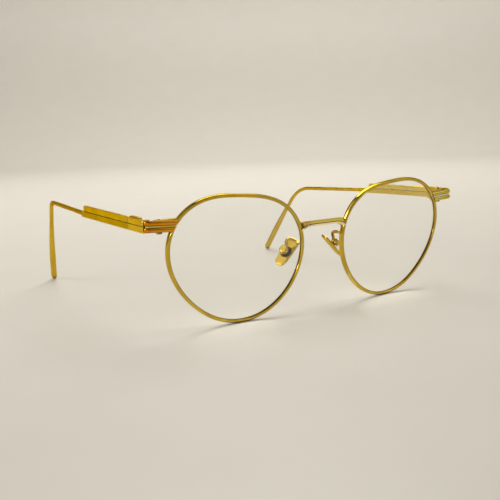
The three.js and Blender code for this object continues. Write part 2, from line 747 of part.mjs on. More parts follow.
function makeNosePad() {
  const fuller = (value) => Math.sign(value) * Math.abs(value) ** PAD_SQUARENESS;
  const shape = new THREE.Shape();
  for (let i = 0; i < PAD_STEPS; i += 1) {
    const turn = (2 * Math.PI * i) / PAD_STEPS;
    const y = (PAD_WIDTH / 2 + PAD_TAPER * Math.sin(turn)) * fuller(Math.cos(turn));
    const z = (PAD_LENGTH / 2) * fuller(Math.sin(turn));
    if (i === 0) {
      shape.moveTo(y, z);
    } else {
      shape.lineTo(y, z);
    }
  }
  const plate = slabAlongX(shape, -PAD_THICKNESS / 2, PAD_THICKNESS / 2, PAD_BEVEL);
  const halfWidth = STEM_WIDTH / 2;
  const halfLength = STEM_LENGTH / 2;
  const stem = block([0, STEM_TIP], [-halfWidth, halfWidth], [-halfLength, halfLength]);
  const boreSpan = halfWidth + RUN_PAST;
  const bore = crosswise(PAD_SCREW_RADIUS + THREAD_GAP, PAD_PIVOT, [-boreSpan, boreSpan]);
  return cut(join(plate, stem), bore);
}

function alongPadAxis(radius, from, to) {
  const drum = new THREE.CylinderGeometry(radius, radius, to - from, ROUND_STEPS);
  return drum.rotateZ(Math.PI / 2).translate((from + to) / 2, 0, 0);
}

function makePadBox() {
  const halfWidth = BOX_SLOT_WIDTH / 2;
  const halfLength = BOX_SLOT_LENGTH / 2;
  const slotDepth = [BOX_FROM - RUN_PAST, BOX_TO - BOX_ROOF];
  const slot = block(slotDepth, [-halfWidth, halfWidth], [-halfLength, halfLength]);
  const boreSpan = BOX_RADIUS + RUN_PAST;
  const bore = crosswise(PAD_SCREW_RADIUS + THREAD_GAP, PAD_PIVOT, [-boreSpan, boreSpan]);
  const dimple = alongPadAxis(DIMPLE_RADIUS, BOX_TO - DIMPLE_DEPTH, BOX_TO + RUN_PAST);
  return cut(alongPadAxis(BOX_RADIUS, BOX_FROM, BOX_TO), slot, bore, dimple);
}

function makePadScrew() {
  const seat = BOX_RADIUS + THREAD_GAP;
  const shank = crosswise(PAD_SCREW_RADIUS, PAD_PIVOT, [-seat, seat + PAD_HEAD_HEIGHT / 2]);
  const head = crosswise(PAD_HEAD_RADIUS, PAD_PIVOT, [seat, seat + PAD_HEAD_HEIGHT]);
  const half = SLOT_WIDTH / 2;
  const slotY = [seat + PAD_HEAD_HEIGHT - PAD_SLOT_DEPTH, seat + PAD_HEAD_HEIGHT + RUN_PAST];
  const slot = block([PAD_PIVOT - half, PAD_PIVOT + half], slotY, [-RUN_PAST, RUN_PAST]);
  return cut(join(shank, head), slot);
}

// The arm is a bent wire: it leaves the back of the rim, loops over and comes down on the top of the box.
function makePadArm(padFrame, armRoute) {
  const boxMiddle = (BOX_FROM + BOX_TO) / 2;
  const boxTop = new THREE.Vector3(boxMiddle, 0, BOX_RADIUS - ARM_INTO_BOX).applyMatrix4(padFrame);
  const route = [...armRoute.map((point) => new THREE.Vector3(...point)), boxTop];
  const curve = new THREE.CatmullRomCurve3(route, false, "centripetal");
  const section = roundSection(ARM_RADIUS);
  const sideways = new THREE.Vector3(1, 0, 0);
  const rings = [];
  for (let i = 0; i <= ARM_STEPS; i += 1) {
    const at = curve.getPointAt(i / ARM_STEPS);
    const along = curve.getTangentAt(i / ARM_STEPS);
    const across = sideways.clone().addScaledVector(along, -sideways.dot(along)).normalize();
    const over = across.clone().cross(along);
    rings.push(section.map(({ x, y }) => at.clone().addScaledVector(across, x).addScaledVector(over, y)));
  }
  const boxRoom = alongPadAxis(BOX_RADIUS + BRAZE_GAP, BOX_FROM - RUN_PAST, BOX_TO + BRAZE_GAP);
  return cut(loft(rings, section), nasalRimRoom, boxRoom.applyMatrix4(padFrame));
}

// Assembly

function addPiece(parent, name, geometry, material, side) {
  const shown = side < 0 ? mirrored(geometry) : bare(geometry);
  shown.computeVertexNormals();
  const mesh = new THREE.Mesh(shown, material);
  mesh.name = name;
  parent.add(mesh);
}

// A group placed for the wearer's left, or as its mirror image for the right.
function sideGroup(parent, side, position, turnY, turnZ) {
  const group = new THREE.Group();
  group.position.set(side * position.x, position.y, position.z);
  group.rotation.set(0, side * turnY, side * turnZ);
  parent.add(group);
  return group;
}

const glasses = new THREE.Group();
const front = new THREE.Group();
front.position.z = FRONT_HEIGHT;
front.rotation.x = TILT;
glasses.add(front);

const padFrame = sideGroup(new THREE.Group(), 1, PAD_CENTRE, -PAD_FRONTAL_ANGLE, -PAD_SPLAY_ANGLE);
padFrame.updateMatrix();

const lensGeometry = makeLens();
const sidePieces = [
  ["closing_block_upper", makeClosingHalf(slitPoint.z + SLIT_GAP / 2, CLOSING_TOP_Z), deepGold],
  ["closing_block_lower", makeClosingHalf(CLOSING_BOTTOM_Z, slitPoint.z - SLIT_GAP / 2), deepGold],
  ["closing_screw", makeClosingScrew(), screwSteel],
  ["end_piece", makeEndPiece(), gold],
  ["hinge_front", makeHingeFront(), deepGold],
  ["hinge_temple", makeHingeTemple(), deepGold],
  ["hinge_screw", makeHingeScrew(), screwSteel],
];
const padPieces = [
  ["nose_pad", makeNosePad(), gold],
  ["pad_box", makePadBox(), gold],
  ["pad_screw", makePadScrew(), screwSteel],
];

addPiece(glasses, "bridge", makeBridge(), gold, 1);
for (const [word, side, temple, armRoute] of [
  ["left", 1, LEFT_TEMPLE, LEFT_ARM_ROUTE],
  ["right", -1, RIGHT_TEMPLE, RIGHT_ARM_ROUTE],
]) {
  const rimGroup = sideGroup(front, side, new THREE.Vector3(LENS_CENTRE_X, 0, 0), 0, WRAP);
  addPiece(rimGroup, `${word}_rim`, rimGeometry, gold, side);
  addPiece(rimGroup, `${word}_lens`, lensGeometry, clearLens, side);
  for (const [name, geometry, material] of sidePieces) {
    addPiece(glasses, `${word}_${name}`, geometry, material, side);
  }
  addPiece(glasses, `${word}_pad_arm`, makePadArm(padFrame.matrix, armRoute), deepGold, side);
  const setting = templeSetting(temple.rise);
  const frontBlock = makeFrontBlock().applyMatrix4(setting);
  addPiece(glasses, `${word}_temple_front_block`, frontBlock, gold, side);
  const upperStrip = makeUpperStrip().applyMatrix4(setting);
  addPiece(glasses, `${word}_temple_upper_strip`, upperStrip, gold, side);
  const wire = makeTempleWire(setting, temple);
  addPiece(glasses, `${word}_temple_wire`, wire, gold, side);
  const padGroup = sideGroup(glasses, side, PAD_CENTRE, -PAD_FRONTAL_ANGLE, -PAD_SPLAY_ANGLE);
  for (const [name, geometry, material] of padPieces) {
    addPiece(padGroup, `${word}_${name}`, geometry, material, side);
  }
}

// The origin is under the middle of the whole object.
const extent = new THREE.Box3().setFromObject(glasses, true);
const part = new THREE.Group();
glasses.position.y = -(extent.min.y + extent.max.y) / 2;
glasses.position.z = -extent.min.z;
part.add(glasses);

export default part;
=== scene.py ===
# %% [markdown]
# # Round metal eyeglasses
#
# The glasses are a gold-plated metal frame with two clear lenses, standing open on a table. Their sizes and
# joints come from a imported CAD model. This lesson dresses that model: every piece is modelled again with
# softer edges and a worked metal finish, in the place where its plain solid sits.

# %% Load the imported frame
import json
import math
import bmesh
import bpy
from mathutils import Matrix, Vector


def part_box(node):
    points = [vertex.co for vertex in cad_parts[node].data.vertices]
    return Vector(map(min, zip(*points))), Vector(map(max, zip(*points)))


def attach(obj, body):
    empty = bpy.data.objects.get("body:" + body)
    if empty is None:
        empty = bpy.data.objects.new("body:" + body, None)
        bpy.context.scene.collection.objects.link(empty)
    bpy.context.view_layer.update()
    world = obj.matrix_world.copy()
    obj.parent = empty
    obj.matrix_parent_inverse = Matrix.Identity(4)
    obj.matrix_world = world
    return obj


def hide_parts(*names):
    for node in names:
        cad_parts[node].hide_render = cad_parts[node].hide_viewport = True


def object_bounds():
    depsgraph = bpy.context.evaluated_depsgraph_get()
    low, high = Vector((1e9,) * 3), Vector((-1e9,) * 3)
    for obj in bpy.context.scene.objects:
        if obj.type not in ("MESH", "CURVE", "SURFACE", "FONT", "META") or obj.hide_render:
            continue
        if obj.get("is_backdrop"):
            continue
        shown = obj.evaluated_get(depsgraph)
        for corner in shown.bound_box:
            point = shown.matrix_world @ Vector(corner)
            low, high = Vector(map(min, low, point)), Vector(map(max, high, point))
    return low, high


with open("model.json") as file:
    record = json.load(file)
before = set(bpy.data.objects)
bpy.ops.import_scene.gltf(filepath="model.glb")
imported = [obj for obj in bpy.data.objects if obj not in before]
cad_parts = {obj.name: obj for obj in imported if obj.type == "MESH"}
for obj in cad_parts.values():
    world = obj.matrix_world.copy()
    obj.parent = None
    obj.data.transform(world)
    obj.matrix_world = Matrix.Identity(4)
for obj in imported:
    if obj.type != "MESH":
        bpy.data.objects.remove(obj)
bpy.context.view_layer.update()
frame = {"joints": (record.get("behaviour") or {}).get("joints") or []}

# %% [markdown]
# ## Working at one unit to the millimetre
#
# The thinnest edges here are a tenth of a millimetre. Blender's operators have small fixed tolerances that suit
# sizes of about one unit, so each piece is modelled at one unit to the millimetre and scaled to metres at the
# end. The front's own zero lies a little ahead of the frame's origin, and the hinge's place tells how far.

# %% Units and where the front sits
MM = 0.001
HINGE_X = 67.0
HINGE_Y = 4.0
hinge_place = next(j["pos_m"] for j in frame["joints"] if j["name"] == "left_temple_fold")
BACK_SHIFT = hinge_place[1] / MM - HINGE_Y
to_metres = Matrix.Translation((0, BACK_SHIFT * MM, 0)) @ Matrix.Scale(MM, 4)
print("the front's zero is at y =", round(BACK_SHIFT, 3), "mm")

# %% [markdown]
# ## Selecting by place
#
# Operators act on whatever is selected, so a careful selection is half of modelling. Small helpers open a piece
# in edit mode with nothing else selected, and pick its vertices, edges or faces with a test on their middle,
# their direction or their angle.

# %% Helpers for selecting
SHARP_ANGLE = math.radians(40)


def rest_tools():
    """Object mode, with nothing selected."""
    if bpy.context.mode != "OBJECT":
        bpy.ops.object.mode_set(mode="OBJECT")
    bpy.ops.object.select_all(action="DESELECT")


def take(piece):
    """Make a piece the only selected and the active one."""
    rest_tools()
    bpy.context.view_layer.objects.active = piece
    piece.select_set(True)
    return piece


def edit(piece):
    take(piece)
    bpy.ops.object.mode_set(mode="EDIT")


def middle_of(element):
    if isinstance(element, bmesh.types.BMVert):
        return element.co
    return sum((v.co for v in element.verts), Vector()) / len(element.verts)


def choose(kind, test):
    """In edit mode, select only the VERT, EDGE or FACE elements that pass a test, and count them."""
    bpy.ops.mesh.select_mode(type=kind)
    bpy.ops.mesh.select_all(action="DESELECT")
    data = bpy.context.object.data
    mesh = bmesh.from_edit_mesh(data)
    found = [e for e in {"VERT": mesh.verts, "EDGE": mesh.edges, "FACE": mesh.faces}[kind] if test(e)]
    for element in found:
        element.select_set(True)
    mesh.select_flush_mode()
    bmesh.update_edit_mesh(data)
    return len(found)


def near(a, b, within=0.01):
    return abs(a - b) < within


def round_edges(test, width, segments):
    """Bevel the edges that pass a test."""
    count = choose("EDGE", test)
    bpy.ops.mesh.bevel(offset=width, segments=segments, affect="EDGES", clamp_overlap=True)
    return count


def margin(least_area, width):
    """A narrow margin inside each large face, so that the wear on its edges stays at the edges."""
    choose("FACE", lambda f: f.calc_area() > least_area)
    bpy.ops.mesh.inset(thickness=width, use_individual=True)


def sharp(edge, least=SHARP_ANGLE):
    return edge.calc_face_angle(0) > least


def soften(piece, test, width, segments=3):
    """Bevel a piece's edges that pass a test, and leave edit mode again."""
    edit(piece)
    round_edges(test, width, segments)
    rest_tools()


def any_edge(edge):
    return True


print("an edge is sharp from", round(math.degrees(SHARP_ANGLE)), "degrees on")

# %% [markdown]
# ## Blocks, drums and swept bars
#
# Almost every piece of a frame starts as one of three things: a block, a turned drum, or a bar drawn along a
# path. A swept bar starts as a filled circle whose vertices are led onto the section, and each extrude is led
# onto the next place along the path, as one would do by hand with grab and rotate.

# %% Helpers for starting a piece
def block(name, low, high):
    rest_tools()
    middle = [(a + b) / 2 for a, b in zip(low, high)]
    bpy.ops.mesh.primitive_cube_add(size=1, location=middle)
    piece = bpy.context.object
    piece.name = name
    piece.scale = [b - a for a, b in zip(low, high)]
    bpy.ops.object.transform_apply(location=True, rotation=True, scale=True)
    return piece


def soft_block(name, low, high, radius):
    piece = block(name, low, high)
    soften(piece, any_edge, radius)
    return piece


def drum(name, radius, low, high, sides=48):
    """An upright drum on the z axis."""
    rest_tools()
    bpy.ops.mesh.primitive_cylinder_add(
        vertices=sides, radius=radius, depth=high - low, location=(0, 0, (low + high) / 2))
    piece = bpy.context.object
    piece.name = name
    bpy.ops.object.transform_apply(location=True, rotation=True, scale=True)
    return piece


def place(piece, matrix):
    """Move a finished shape and bake the move into its mesh."""
    take(piece)
    piece.matrix_world = matrix
    bpy.ops.object.transform_apply(location=True, rotation=True, scale=True)
    return piece


def face_out(piece):
    edit(piece)
    bpy.ops.mesh.select_all(action="SELECT")
    bpy.ops.mesh.remove_doubles(threshold=1e-5)
    bpy.ops.mesh.normals_make_consistent(inside=False)
    rest_tools()
    return piece


def sweep(name, rings):
    """Extrude a drawn outline from ring to ring. Every ring lists its points in the same order."""
    rest_tools()
    bpy.ops.mesh.primitive_circle_add(vertices=len(rings[0]), fill_type="NGON")
    piece = bpy.context.object
    piece.name = name
    for vertex, point in zip(piece.data.vertices, rings[0]):
        vertex.co = point
    edit(piece)
    bpy.ops.mesh.select_all(action="SELECT")
    for before, after in zip(rings, rings[1:]):
        bpy.ops.mesh.extrude_region_move()
        mesh = bmesh.from_edit_mesh(piece.data)
        for vertex in [v for v in mesh.verts if v.select]:
            nearest = min(range(len(before)), key=lambda i: (before[i] - vertex.co).length_squared)
            vertex.co = after[nearest]
        bmesh.update_edit_mesh(piece.data)
    return face_out(piece)


def boolean(piece, tool, operation, keep_tool=False):
    take(piece)
    change = piece.modifiers.new("joint", "BOOLEAN")
    change.object = tool
    change.operation = operation
    change.solver = "EXACT"
    bpy.ops.object.modifier_apply(modifier=change.name)
    if not keep_tool:
        bpy.data.objects.remove(tool)
    return piece


def rounded_section(half_width, half_height, radius, per_corner=5):
    """Points of a rounded rectangle, or of a circle where the radius is both halves."""
    points = []
    for quarter, (sx, sy) in enumerate(((1, 1), (-1, 1), (-1, -1), (1, -1))):
        for i in range(per_corner):
            turn = math.pi / 2 * (quarter + (i + 0.5) / per_corner)
            points.append(Vector((
                sx * (half_width - radius) + radius * math.cos(turn),
                sy * (half_height - radius) + radius * math.sin(turn))))
    return points


print("a circle is drawn with", len(rounded_section(1, 1, 1)), "points")

# %% [markdown]
# ## The metal finishes
#
# The frame is plated gold with a satin sheen. Plating is never one colour: it thins and brightens where fingers
# rub the edges, and carries faint drawing lines from the die. The shader mixes two golds by a slow noise,
# lightens the raised edges, paints shade into the creases that an occlusion test finds, and lets a fine grain
# move the roughness and the bump. The bridge also has the reddish spots of soldering heat, and one pad a
# painted shadow around its box. The patterns read Object coordinates, in metres, so a scale of 1000 is about one
# wave a millimetre.

# %% Small helpers for shader nodes
def noise_node(tree, vector, scale, detail):
    node = tree.nodes.new("ShaderNodeTexNoise")
    node.inputs["Scale"].default_value = scale
    node.inputs["Detail"].default_value = detail
    tree.links.new(vector, node.inputs["Vector"])
    return node.outputs["Fac"]


def ramp_node(tree, value, low, high, start=0.0, end=1.0):
    node = tree.nodes.new("ShaderNodeMapRange")
    node.inputs["From Min"].default_value = low
    node.inputs["From Max"].default_value = high
    node.inputs["To Min"].default_value = start
    node.inputs["To Max"].default_value = end
    tree.links.new(value, node.inputs["Value"])
    return node.outputs["Result"]


def mix_node(tree, share, first, second):
    """Mix two colours, each a socket or a plain colour."""
    node = tree.nodes.new("ShaderNodeMix")
    node.data_type = "RGBA"
    tree.links.new(share, node.inputs["Factor"])
    for name, colour in (("A", first), ("B", second)):
        socket = next(s for s in node.inputs if s.name == name and s.type == "RGBA")
        if isinstance(colour, tuple):
            socket.default_value = (*colour, 1)
        else:
            tree.links.new(colour, socket)
    return next(s for s in node.outputs if s.type == "RGBA")


print("noise, range and mix nodes can be added in one line each")

# %% [markdown]
# ## One recipe for every metal
#
# The metals differ in tone and sheen, and the recipe stays the same. Two golds are mixed first, then come the
# marks of heat or a painted shadow ring, then the rubbed edges, and painted shade in the creases lies over them
# all. The colour seen at grazing angles is set to the worn gold too, or the sides of round bars would turn grey.

# %% A metal finish from two tones
EVEN_GRAIN = (2500, 2500, 2500)
MOTTLE_SCALE = 160
HEAT_SPOT_SCALE = 1100
CREASE_REACH = 0.0016
GRAIN_HEIGHT = 0.00004
SMOOTHER = 0.05
ROUGHER = 0.07
CREASE_SHADE = (0.25, 0.19, 0.1)


def metal_finish(name, bright, deep, worn, smooth, grain=EVEN_GRAIN, grain_depth=0.12,
                 crease_shading=0.95, heat=None, shadow_ring=None):
    """A plated metal. Crease shading is how dark the painted shade in its creases gets. Heat is a tint and the
    two places along x between which it grows. A shadow ring is a painted shadow: a tint, its middle, and how far
    its dark part and its fading edge reach."""
    material = bpy.data.materials.new(name)
    material.use_nodes = True
    tree = material.node_tree
    shader = tree.nodes["Principled BSDF"]
    shader.inputs["Metallic"].default_value = 1.0
    shader.inputs["Specular Tint"].default_value = (*worn, 1)
    where = tree.nodes.new("ShaderNodeTexCoord").outputs["Object"]
    slow = noise_node(tree, where, MOTTLE_SCALE, 3)
    mottled = ramp_node(tree, slow, 0.35, 0.68)
    along = tree.nodes.new("ShaderNodeMapping")
    along.inputs["Scale"].default_value = grain
    tree.links.new(where, along.inputs["Vector"])
    fine = noise_node(tree, along.outputs["Vector"], 1.0, 2)
    raised = ramp_node(tree, tree.nodes.new("ShaderNodeNewGeometry").outputs["Pointiness"], 0.515, 0.58)
    # Creases found by an occlusion test are darkened with painted shade.
    shade = tree.nodes.new("ShaderNodeAmbientOcclusion")
    shade.samples = 8
    shade.inputs["Distance"].default_value = CREASE_REACH
    crease = ramp_node(tree, shade.outputs["AO"], 0.3, 0.9, crease_shading, 0.0)
    plated = mix_node(tree, mottled, deep, bright)
    if heat:
        tint, cold_x, hot_x = heat
        apart = tree.nodes.new("ShaderNodeSeparateXYZ")
        tree.links.new(where, apart.inputs["Vector"])
        spots = ramp_node(tree, noise_node(tree, where, HEAT_SPOT_SCALE, 2), 0.44, 0.54)
        heated = tree.nodes.new("ShaderNodeMath")
        heated.operation = "MULTIPLY"
        tree.links.new(ramp_node(tree, apart.outputs["X"], cold_x, hot_x), heated.inputs[0])
        tree.links.new(spots, heated.inputs[1])
        plated = mix_node(tree, heated.outputs["Value"], plated, tint)
    # A painted shadow: the colour darkens towards a middle point.
    if shadow_ring:
        tint, middle, dark_to, fades_to = shadow_ring
        away = tree.nodes.new("ShaderNodeVectorMath")
        away.operation = "DISTANCE"
        away.inputs[1].default_value = middle
        tree.links.new(where, away.inputs[0])
        plated = mix_node(tree, ramp_node(tree, away.outputs["Value"], fades_to, dark_to), plated, tint)
    rubbed = mix_node(tree, raised, plated, worn)
    crease_shade_colour = tuple(share * tone for share, tone in zip(CREASE_SHADE, deep))
    tree.links.new(mix_node(tree, crease, rubbed, crease_shade_colour), shader.inputs["Base Color"])
    sheen = ramp_node(tree, fine, 0.25, 0.75, smooth - SMOOTHER, smooth + ROUGHER)
    tree.links.new(sheen, shader.inputs["Roughness"])
    bump = tree.nodes.new("ShaderNodeBump")
    bump.inputs["Strength"].default_value = grain_depth
    bump.inputs["Distance"].default_value = GRAIN_HEIGHT
    tree.links.new(fine, bump.inputs["Height"])
    tree.links.new(bump.outputs["Normal"], shader.inputs["Normal"])
    return material


DRAWN_ALONG_Y = (5200, 260, 5200)
SOLDER_HEAT = ((0.20, 0.055, 0.015), -0.003, -0.006)
PAD_TONES = ((0.70, 0.49, 0.06), (0.55, 0.37, 0.03), (0.86, 0.68, 0.22), 0.18)
rim_gold = metal_finish("rim_gold", (0.68, 0.47, 0.05), (0.53, 0.35, 0.025), (0.82, 0.63, 0.18), 0.12)
bridge_gold = metal_finish(
    "bridge_gold", (0.50, 0.36, 0.035), (0.42, 0.29, 0.02), (0.74, 0.58, 0.16), 0.2,
    heat=SOLDER_HEAT)
# A pale gold for a painted highlight on the bridge's bevel.
bevel_highlight_gold = metal_finish(
    "bevel_highlight_gold", (0.97, 0.86, 0.48), (0.90, 0.74, 0.30), (0.98, 0.90, 0.60), 0.1, crease_shading=0.4,
    heat=SOLDER_HEAT)
plate_gold = metal_finish(
    "plate_gold", (0.82, 0.54, 0.04), (0.72, 0.45, 0.022), (0.86, 0.64, 0.15), 0.25, DRAWN_ALONG_Y)
bar_gold = metal_finish("bar_gold", (0.66, 0.52, 0.055), (0.54, 0.43, 0.03), (0.80, 0.66, 0.18), 0.14)
# A pale gold for a painted highlight along the far end piece's strip.
groove_highlight_gold = metal_finish(
    "groove_highlight_gold", (0.98, 0.92, 0.62), (0.94, 0.84, 0.48), (0.98, 0.94, 0.70), 0.12, crease_shading=0.15)
# A painted orange reflection for the near end bars.
orange_reflection_bar_gold = metal_finish(
    "orange_reflection_bar_gold", (0.78, 0.29, 0.006), (0.60, 0.19, 0.003), (0.84, 0.40, 0.03), 0.16)
warm_groove_gold = metal_finish(
    "warm_groove_gold", (0.78, 0.50, 0.06), (0.68, 0.42, 0.04), (0.84, 0.60, 0.12), 0.16, crease_shading=0.5)
# A painted dark reflection for the tops of the near end bars, and painted shade under them.
top_reflection_and_shade_gold = metal_finish(
    "top_reflection_and_shade_gold", (0.20, 0.075, 0.012), (0.13, 0.045, 0.006), (0.34, 0.15, 0.03), 0.3)
# A near-black gold for painted shade in the seam between the block and the strip.
seam_shade_gold = metal_finish("seam_shade_gold", (0.11, 0.065, 0.012), (0.07, 0.04, 0.006), (0.20, 0.13, 0.03), 0.4)
wire_gold = metal_finish(
    "wire_gold", (0.68, 0.45, 0.03), (0.56, 0.36, 0.016), (0.78, 0.57, 0.11), 0.24, DRAWN_ALONG_Y, 0.05)
arm_gold = metal_finish("arm_gold", (0.70, 0.49, 0.06), (0.56, 0.37, 0.03), (0.86, 0.68, 0.22), 0.12)
pad_gold = metal_finish("pad_gold", *PAD_TONES)
braze_gold = metal_finish("braze_gold", (0.54, 0.35, 0.04), (0.42, 0.26, 0.02), (0.72, 0.52, 0.13), 0.28)
screw_steel = metal_finish("screw_steel", (0.42, 0.31, 0.10), (0.30, 0.21, 0.055), (0.66, 0.54, 0.26), 0.26)
print("metal finishes:", sum(m.name.endswith(("_gold", "_steel")) for m in bpy.data.materials))

# %% [markdown]
# ## Putting a finished piece into the frame
#
# Each side's pieces are modelled once, for the wearer's left. The right one is a copy with its own mesh,
# mirrored through the middle of the nose. Pieces that are bent by hand differ, so those are made for each side.
# A mirror turns a mesh inside out, so its normals are found again before it gets its smooth shading, its finish
# and its place on a body of the frame. A second finish can then go on a few of its faces.

# %% Settling a piece
SMOOTH_UNDER = math.radians(38)
SIDES = ("left", "right")
MIRROR = Matrix.Scale(-1, 4, (1, 0, 0))
made = []


def settle(piece, name, node, body, finish):
    face_out(piece)
    place(piece, to_metres)
    piece.name = name
    piece.data.name = name
    take(piece)
    bpy.ops.object.shade_smooth_by_angle(angle=SMOOTH_UNDER)
    piece.data.materials.clear()
    piece.data.materials.append(finish)
    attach(piece, body)
    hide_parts(node)
    made.append(piece)
    return piece


def repaint(piece, finish, test):
    """A second finish on the faces whose middle, in millimetres, and normal pass a test."""
    take(piece)
    bpy.ops.object.material_slot_add()
    piece.material_slots[-1].material = finish
    edit(piece)
    count = choose("FACE", lambda f: test(to_metres.inverted() @ middle_of(f), f.normal))
    bpy.ops.object.material_slot_assign()
    rest_tools()
    print(piece.name, "has", finish.name, "on", count, "faces")


def mirrored_copy(piece):
    take(piece)
    bpy.ops.object.duplicate()
    return place(bpy.context.object, MIRROR)


def settle_sides(pieces, name, node, body, finishes):
    """A left and a right piece. A body named with a side is filled in for each."""
    for side, piece, finish in zip(SIDES, pieces, finishes):
        settle(piece, f"{side}_{name}", f"{side}_{node}", body.format(side=side), finish)
        print(piece.name, "has", len(piece.data.polygons), "faces")
    return pieces


def settle_pair(piece, name, node, body, finish, right_finish=None):
    """A piece that is modelled once, and its mirrored copy."""
    pieces = (piece, mirrored_copy(piece))
    return settle_sides(pieces, name, node, body, (finish, right_finish or finish))


def settle_bent(make, name, node, body, finish):
    """A piece that is made for each side, since the two are bent differently."""
    pieces = (make("left"), place(make("right"), MIRROR))
    return settle_sides(pieces, name, node, body, (finish, finish))


print("faces are shaded smooth up to", round(math.degrees(SMOOTH_UNDER)), "degrees")

# %% [markdown]
# ## The outline of the rims
#
# The rims are a soft round, a little wider than high, with a flatter top. A circle with four gentle waves on
# its radius gives that outline, and each rim then wraps back by a few degrees and leans with the front.
# The height at which the leaning front stands is read from the CAD rim's own box.

# %% The outline
RIM_RADIUS = 24.28
RIM_WIDER_THAN_HIGH = 0.072
RIM_LEAN = 0.033
RIM_FLAT_TOP = 0.044
RIM_SQUARENESS = -0.006
LENS_CENTRE_X = 35.1
WRAP = math.radians(3.9)
TILT = math.radians(5.2)
OUTLINE_STEPS = 160


def outline_point(angle):
    waves = RIM_WIDER_THAN_HIGH * math.cos(2 * angle) + RIM_LEAN * math.sin(2 * angle)
    waves += RIM_FLAT_TOP * math.sin(3 * angle) + RIM_SQUARENESS * math.cos(4 * angle)
    radius = RIM_RADIUS * (1 + waves)
    return Vector((radius * math.cos(angle), 0, radius * math.sin(angle)))


def beside_outline(angle, outward, depth):
    """A point beside the rim's centre line: outward in the plane of the lens, and back along y."""
    along = (outline_point(angle + 1e-4) - outline_point(angle - 1e-4)).normalized()
    return outline_point(angle) + Vector((along.z * outward, depth, -along.x * outward))


def outline_ring(outward, depth, scale=1.0):
    turns = [2 * math.pi * i / OUTLINE_STEPS for i in range(OUTLINE_STEPS)]
    points = [beside_outline(turn, outward, 0) * scale for turn in turns]
    return [Vector((p.x, depth, p.z)) for p in points]


wrapped = Matrix.Translation((LENS_CENTRE_X, 0, 0)) @ Matrix.Rotation(WRAP, 4, "Z")
leaning = Matrix.Rotation(TILT, 4, "X") @ wrapped
rim_heights = [(leaning @ p).z for p in outline_ring(0, 0)]
rim_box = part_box("left_rim")
FRONT_HEIGHT = (rim_box[0].z + rim_box[1].z) / 2 / MM - (min(rim_heights) + max(rim_heights)) / 2
in_front = Matrix.Translation((0, 0, FRONT_HEIGHT)) @ leaning
print("the lens centres stand", round(FRONT_HEIGHT, 2), "mm high")

# %% [markdown]
# ## The rims
#
# A rim is drawn wire, flat at the front and soft at its corners, with a groove inside that holds the lens. It
# is slit beside the hinge so that the lens can be put in. The section is swept once round the outline from one
# lip of the slit to the other, which leaves both lips closed.

# %% Sweep the rims
RIM_WIDTH = 1.3
RIM_DEPTH = 1.83
RIM_CORNER = 0.46
GROOVE_HALF_WIDTH = 0.42
GROOVE_DEPTH = 0.4
SLIT_ANGLE = math.radians(29.5)
SLIT_HALF_GAP = 0.125
SLIT_HALF = SLIT_HALF_GAP / RIM_RADIUS


def rim_section():
    points = rounded_section(RIM_WIDTH / 2, RIM_DEPTH / 2, RIM_CORNER)
    inner = -RIM_WIDTH / 2
    groove = [(inner, GROOVE_HALF_WIDTH), (inner + GROOVE_DEPTH, 0), (inner, -GROOVE_HALF_WIDTH)]
    half = len(points) // 2
    return points[:half] + [Vector(p) for p in groove] + points[half:]


def rim_rings(section):
    rings = []
    for i in range(OUTLINE_STEPS + 1):
        turn = SLIT_ANGLE + SLIT_HALF + 2 * (math.pi - SLIT_HALF) * i / OUTLINE_STEPS
        rings.append([beside_outline(turn, p.x, p.y) for p in section])
    return rings


rim = place(sweep("rim", rim_rings(rim_section())), in_front)
settle_pair(rim, "rim_band", "rim", "front", rim_gold)

# %% [markdown]
# ## The lenses
#
# A lens is a thin dome with a V edge that sits in the rim's groove. It starts as a flat drum with as many sides
# as the outline has steps. Its two faces are inset into rings and closed with a fan at the pole, its wall is
# cut once and pushed out into the V, and the rings are then led onto the outline and the dome.

# %% Model a lens
LENS_THICKNESS = 0.84
LENS_DOME = 2.2
LENS_EDGE_INSET = 0.67
LENS_BEVEL_INSET = 0.35
LENS_RINGS = 9
LENS_INSET_REACH = 0.95

lens = drum("lens", 1.0, -LENS_THICKNESS / 2, LENS_THICKNESS / 2, OUTLINE_STEPS)
edit(lens)
for ring in range(LENS_RINGS):
    choose("FACE", lambda f: len(f.verts) > 4)
    bpy.ops.mesh.inset(thickness=LENS_INSET_REACH / LENS_RINGS)
choose("FACE", lambda f: len(f.verts) > 4)
bpy.ops.mesh.poke()
choose("EDGE", lambda e: near(abs(e.verts[0].co.z - e.verts[1].co.z), LENS_THICKNESS))
bpy.ops.mesh.subdivide(number_cuts=1)
mesh = bmesh.from_edit_mesh(lens.data)
for vertex in mesh.verts:
    share = math.hypot(vertex.co.x, vertex.co.y)
    turn = math.atan2(vertex.co.y, vertex.co.x)
    on_ridge = near(share, 1.0, 0.002) and near(vertex.co.z, 0)
    flat = beside_outline(turn, -LENS_BEVEL_INSET if on_ridge else -LENS_EDGE_INSET, 0) * share
    vertex.co = (flat.x, vertex.co.z - LENS_DOME * (1 - share * share), flat.z)
bmesh.update_edit_mesh(lens.data)
rest_tools()
place(lens, in_front)
print("lens faces:", len(lens.data.polygons))

# %% [markdown]
# ## Clear glass
#
# The lenses are clear and nearly invisible: what shows is a faint mirror of the room and a trace of smudges
# where the cloth has missed. Real glass bends light, so a full transmission with glass's own index is used.
# Lamps should shine through a thin lens and not leave it a dark shadow, so rays that look for a lamp pass.

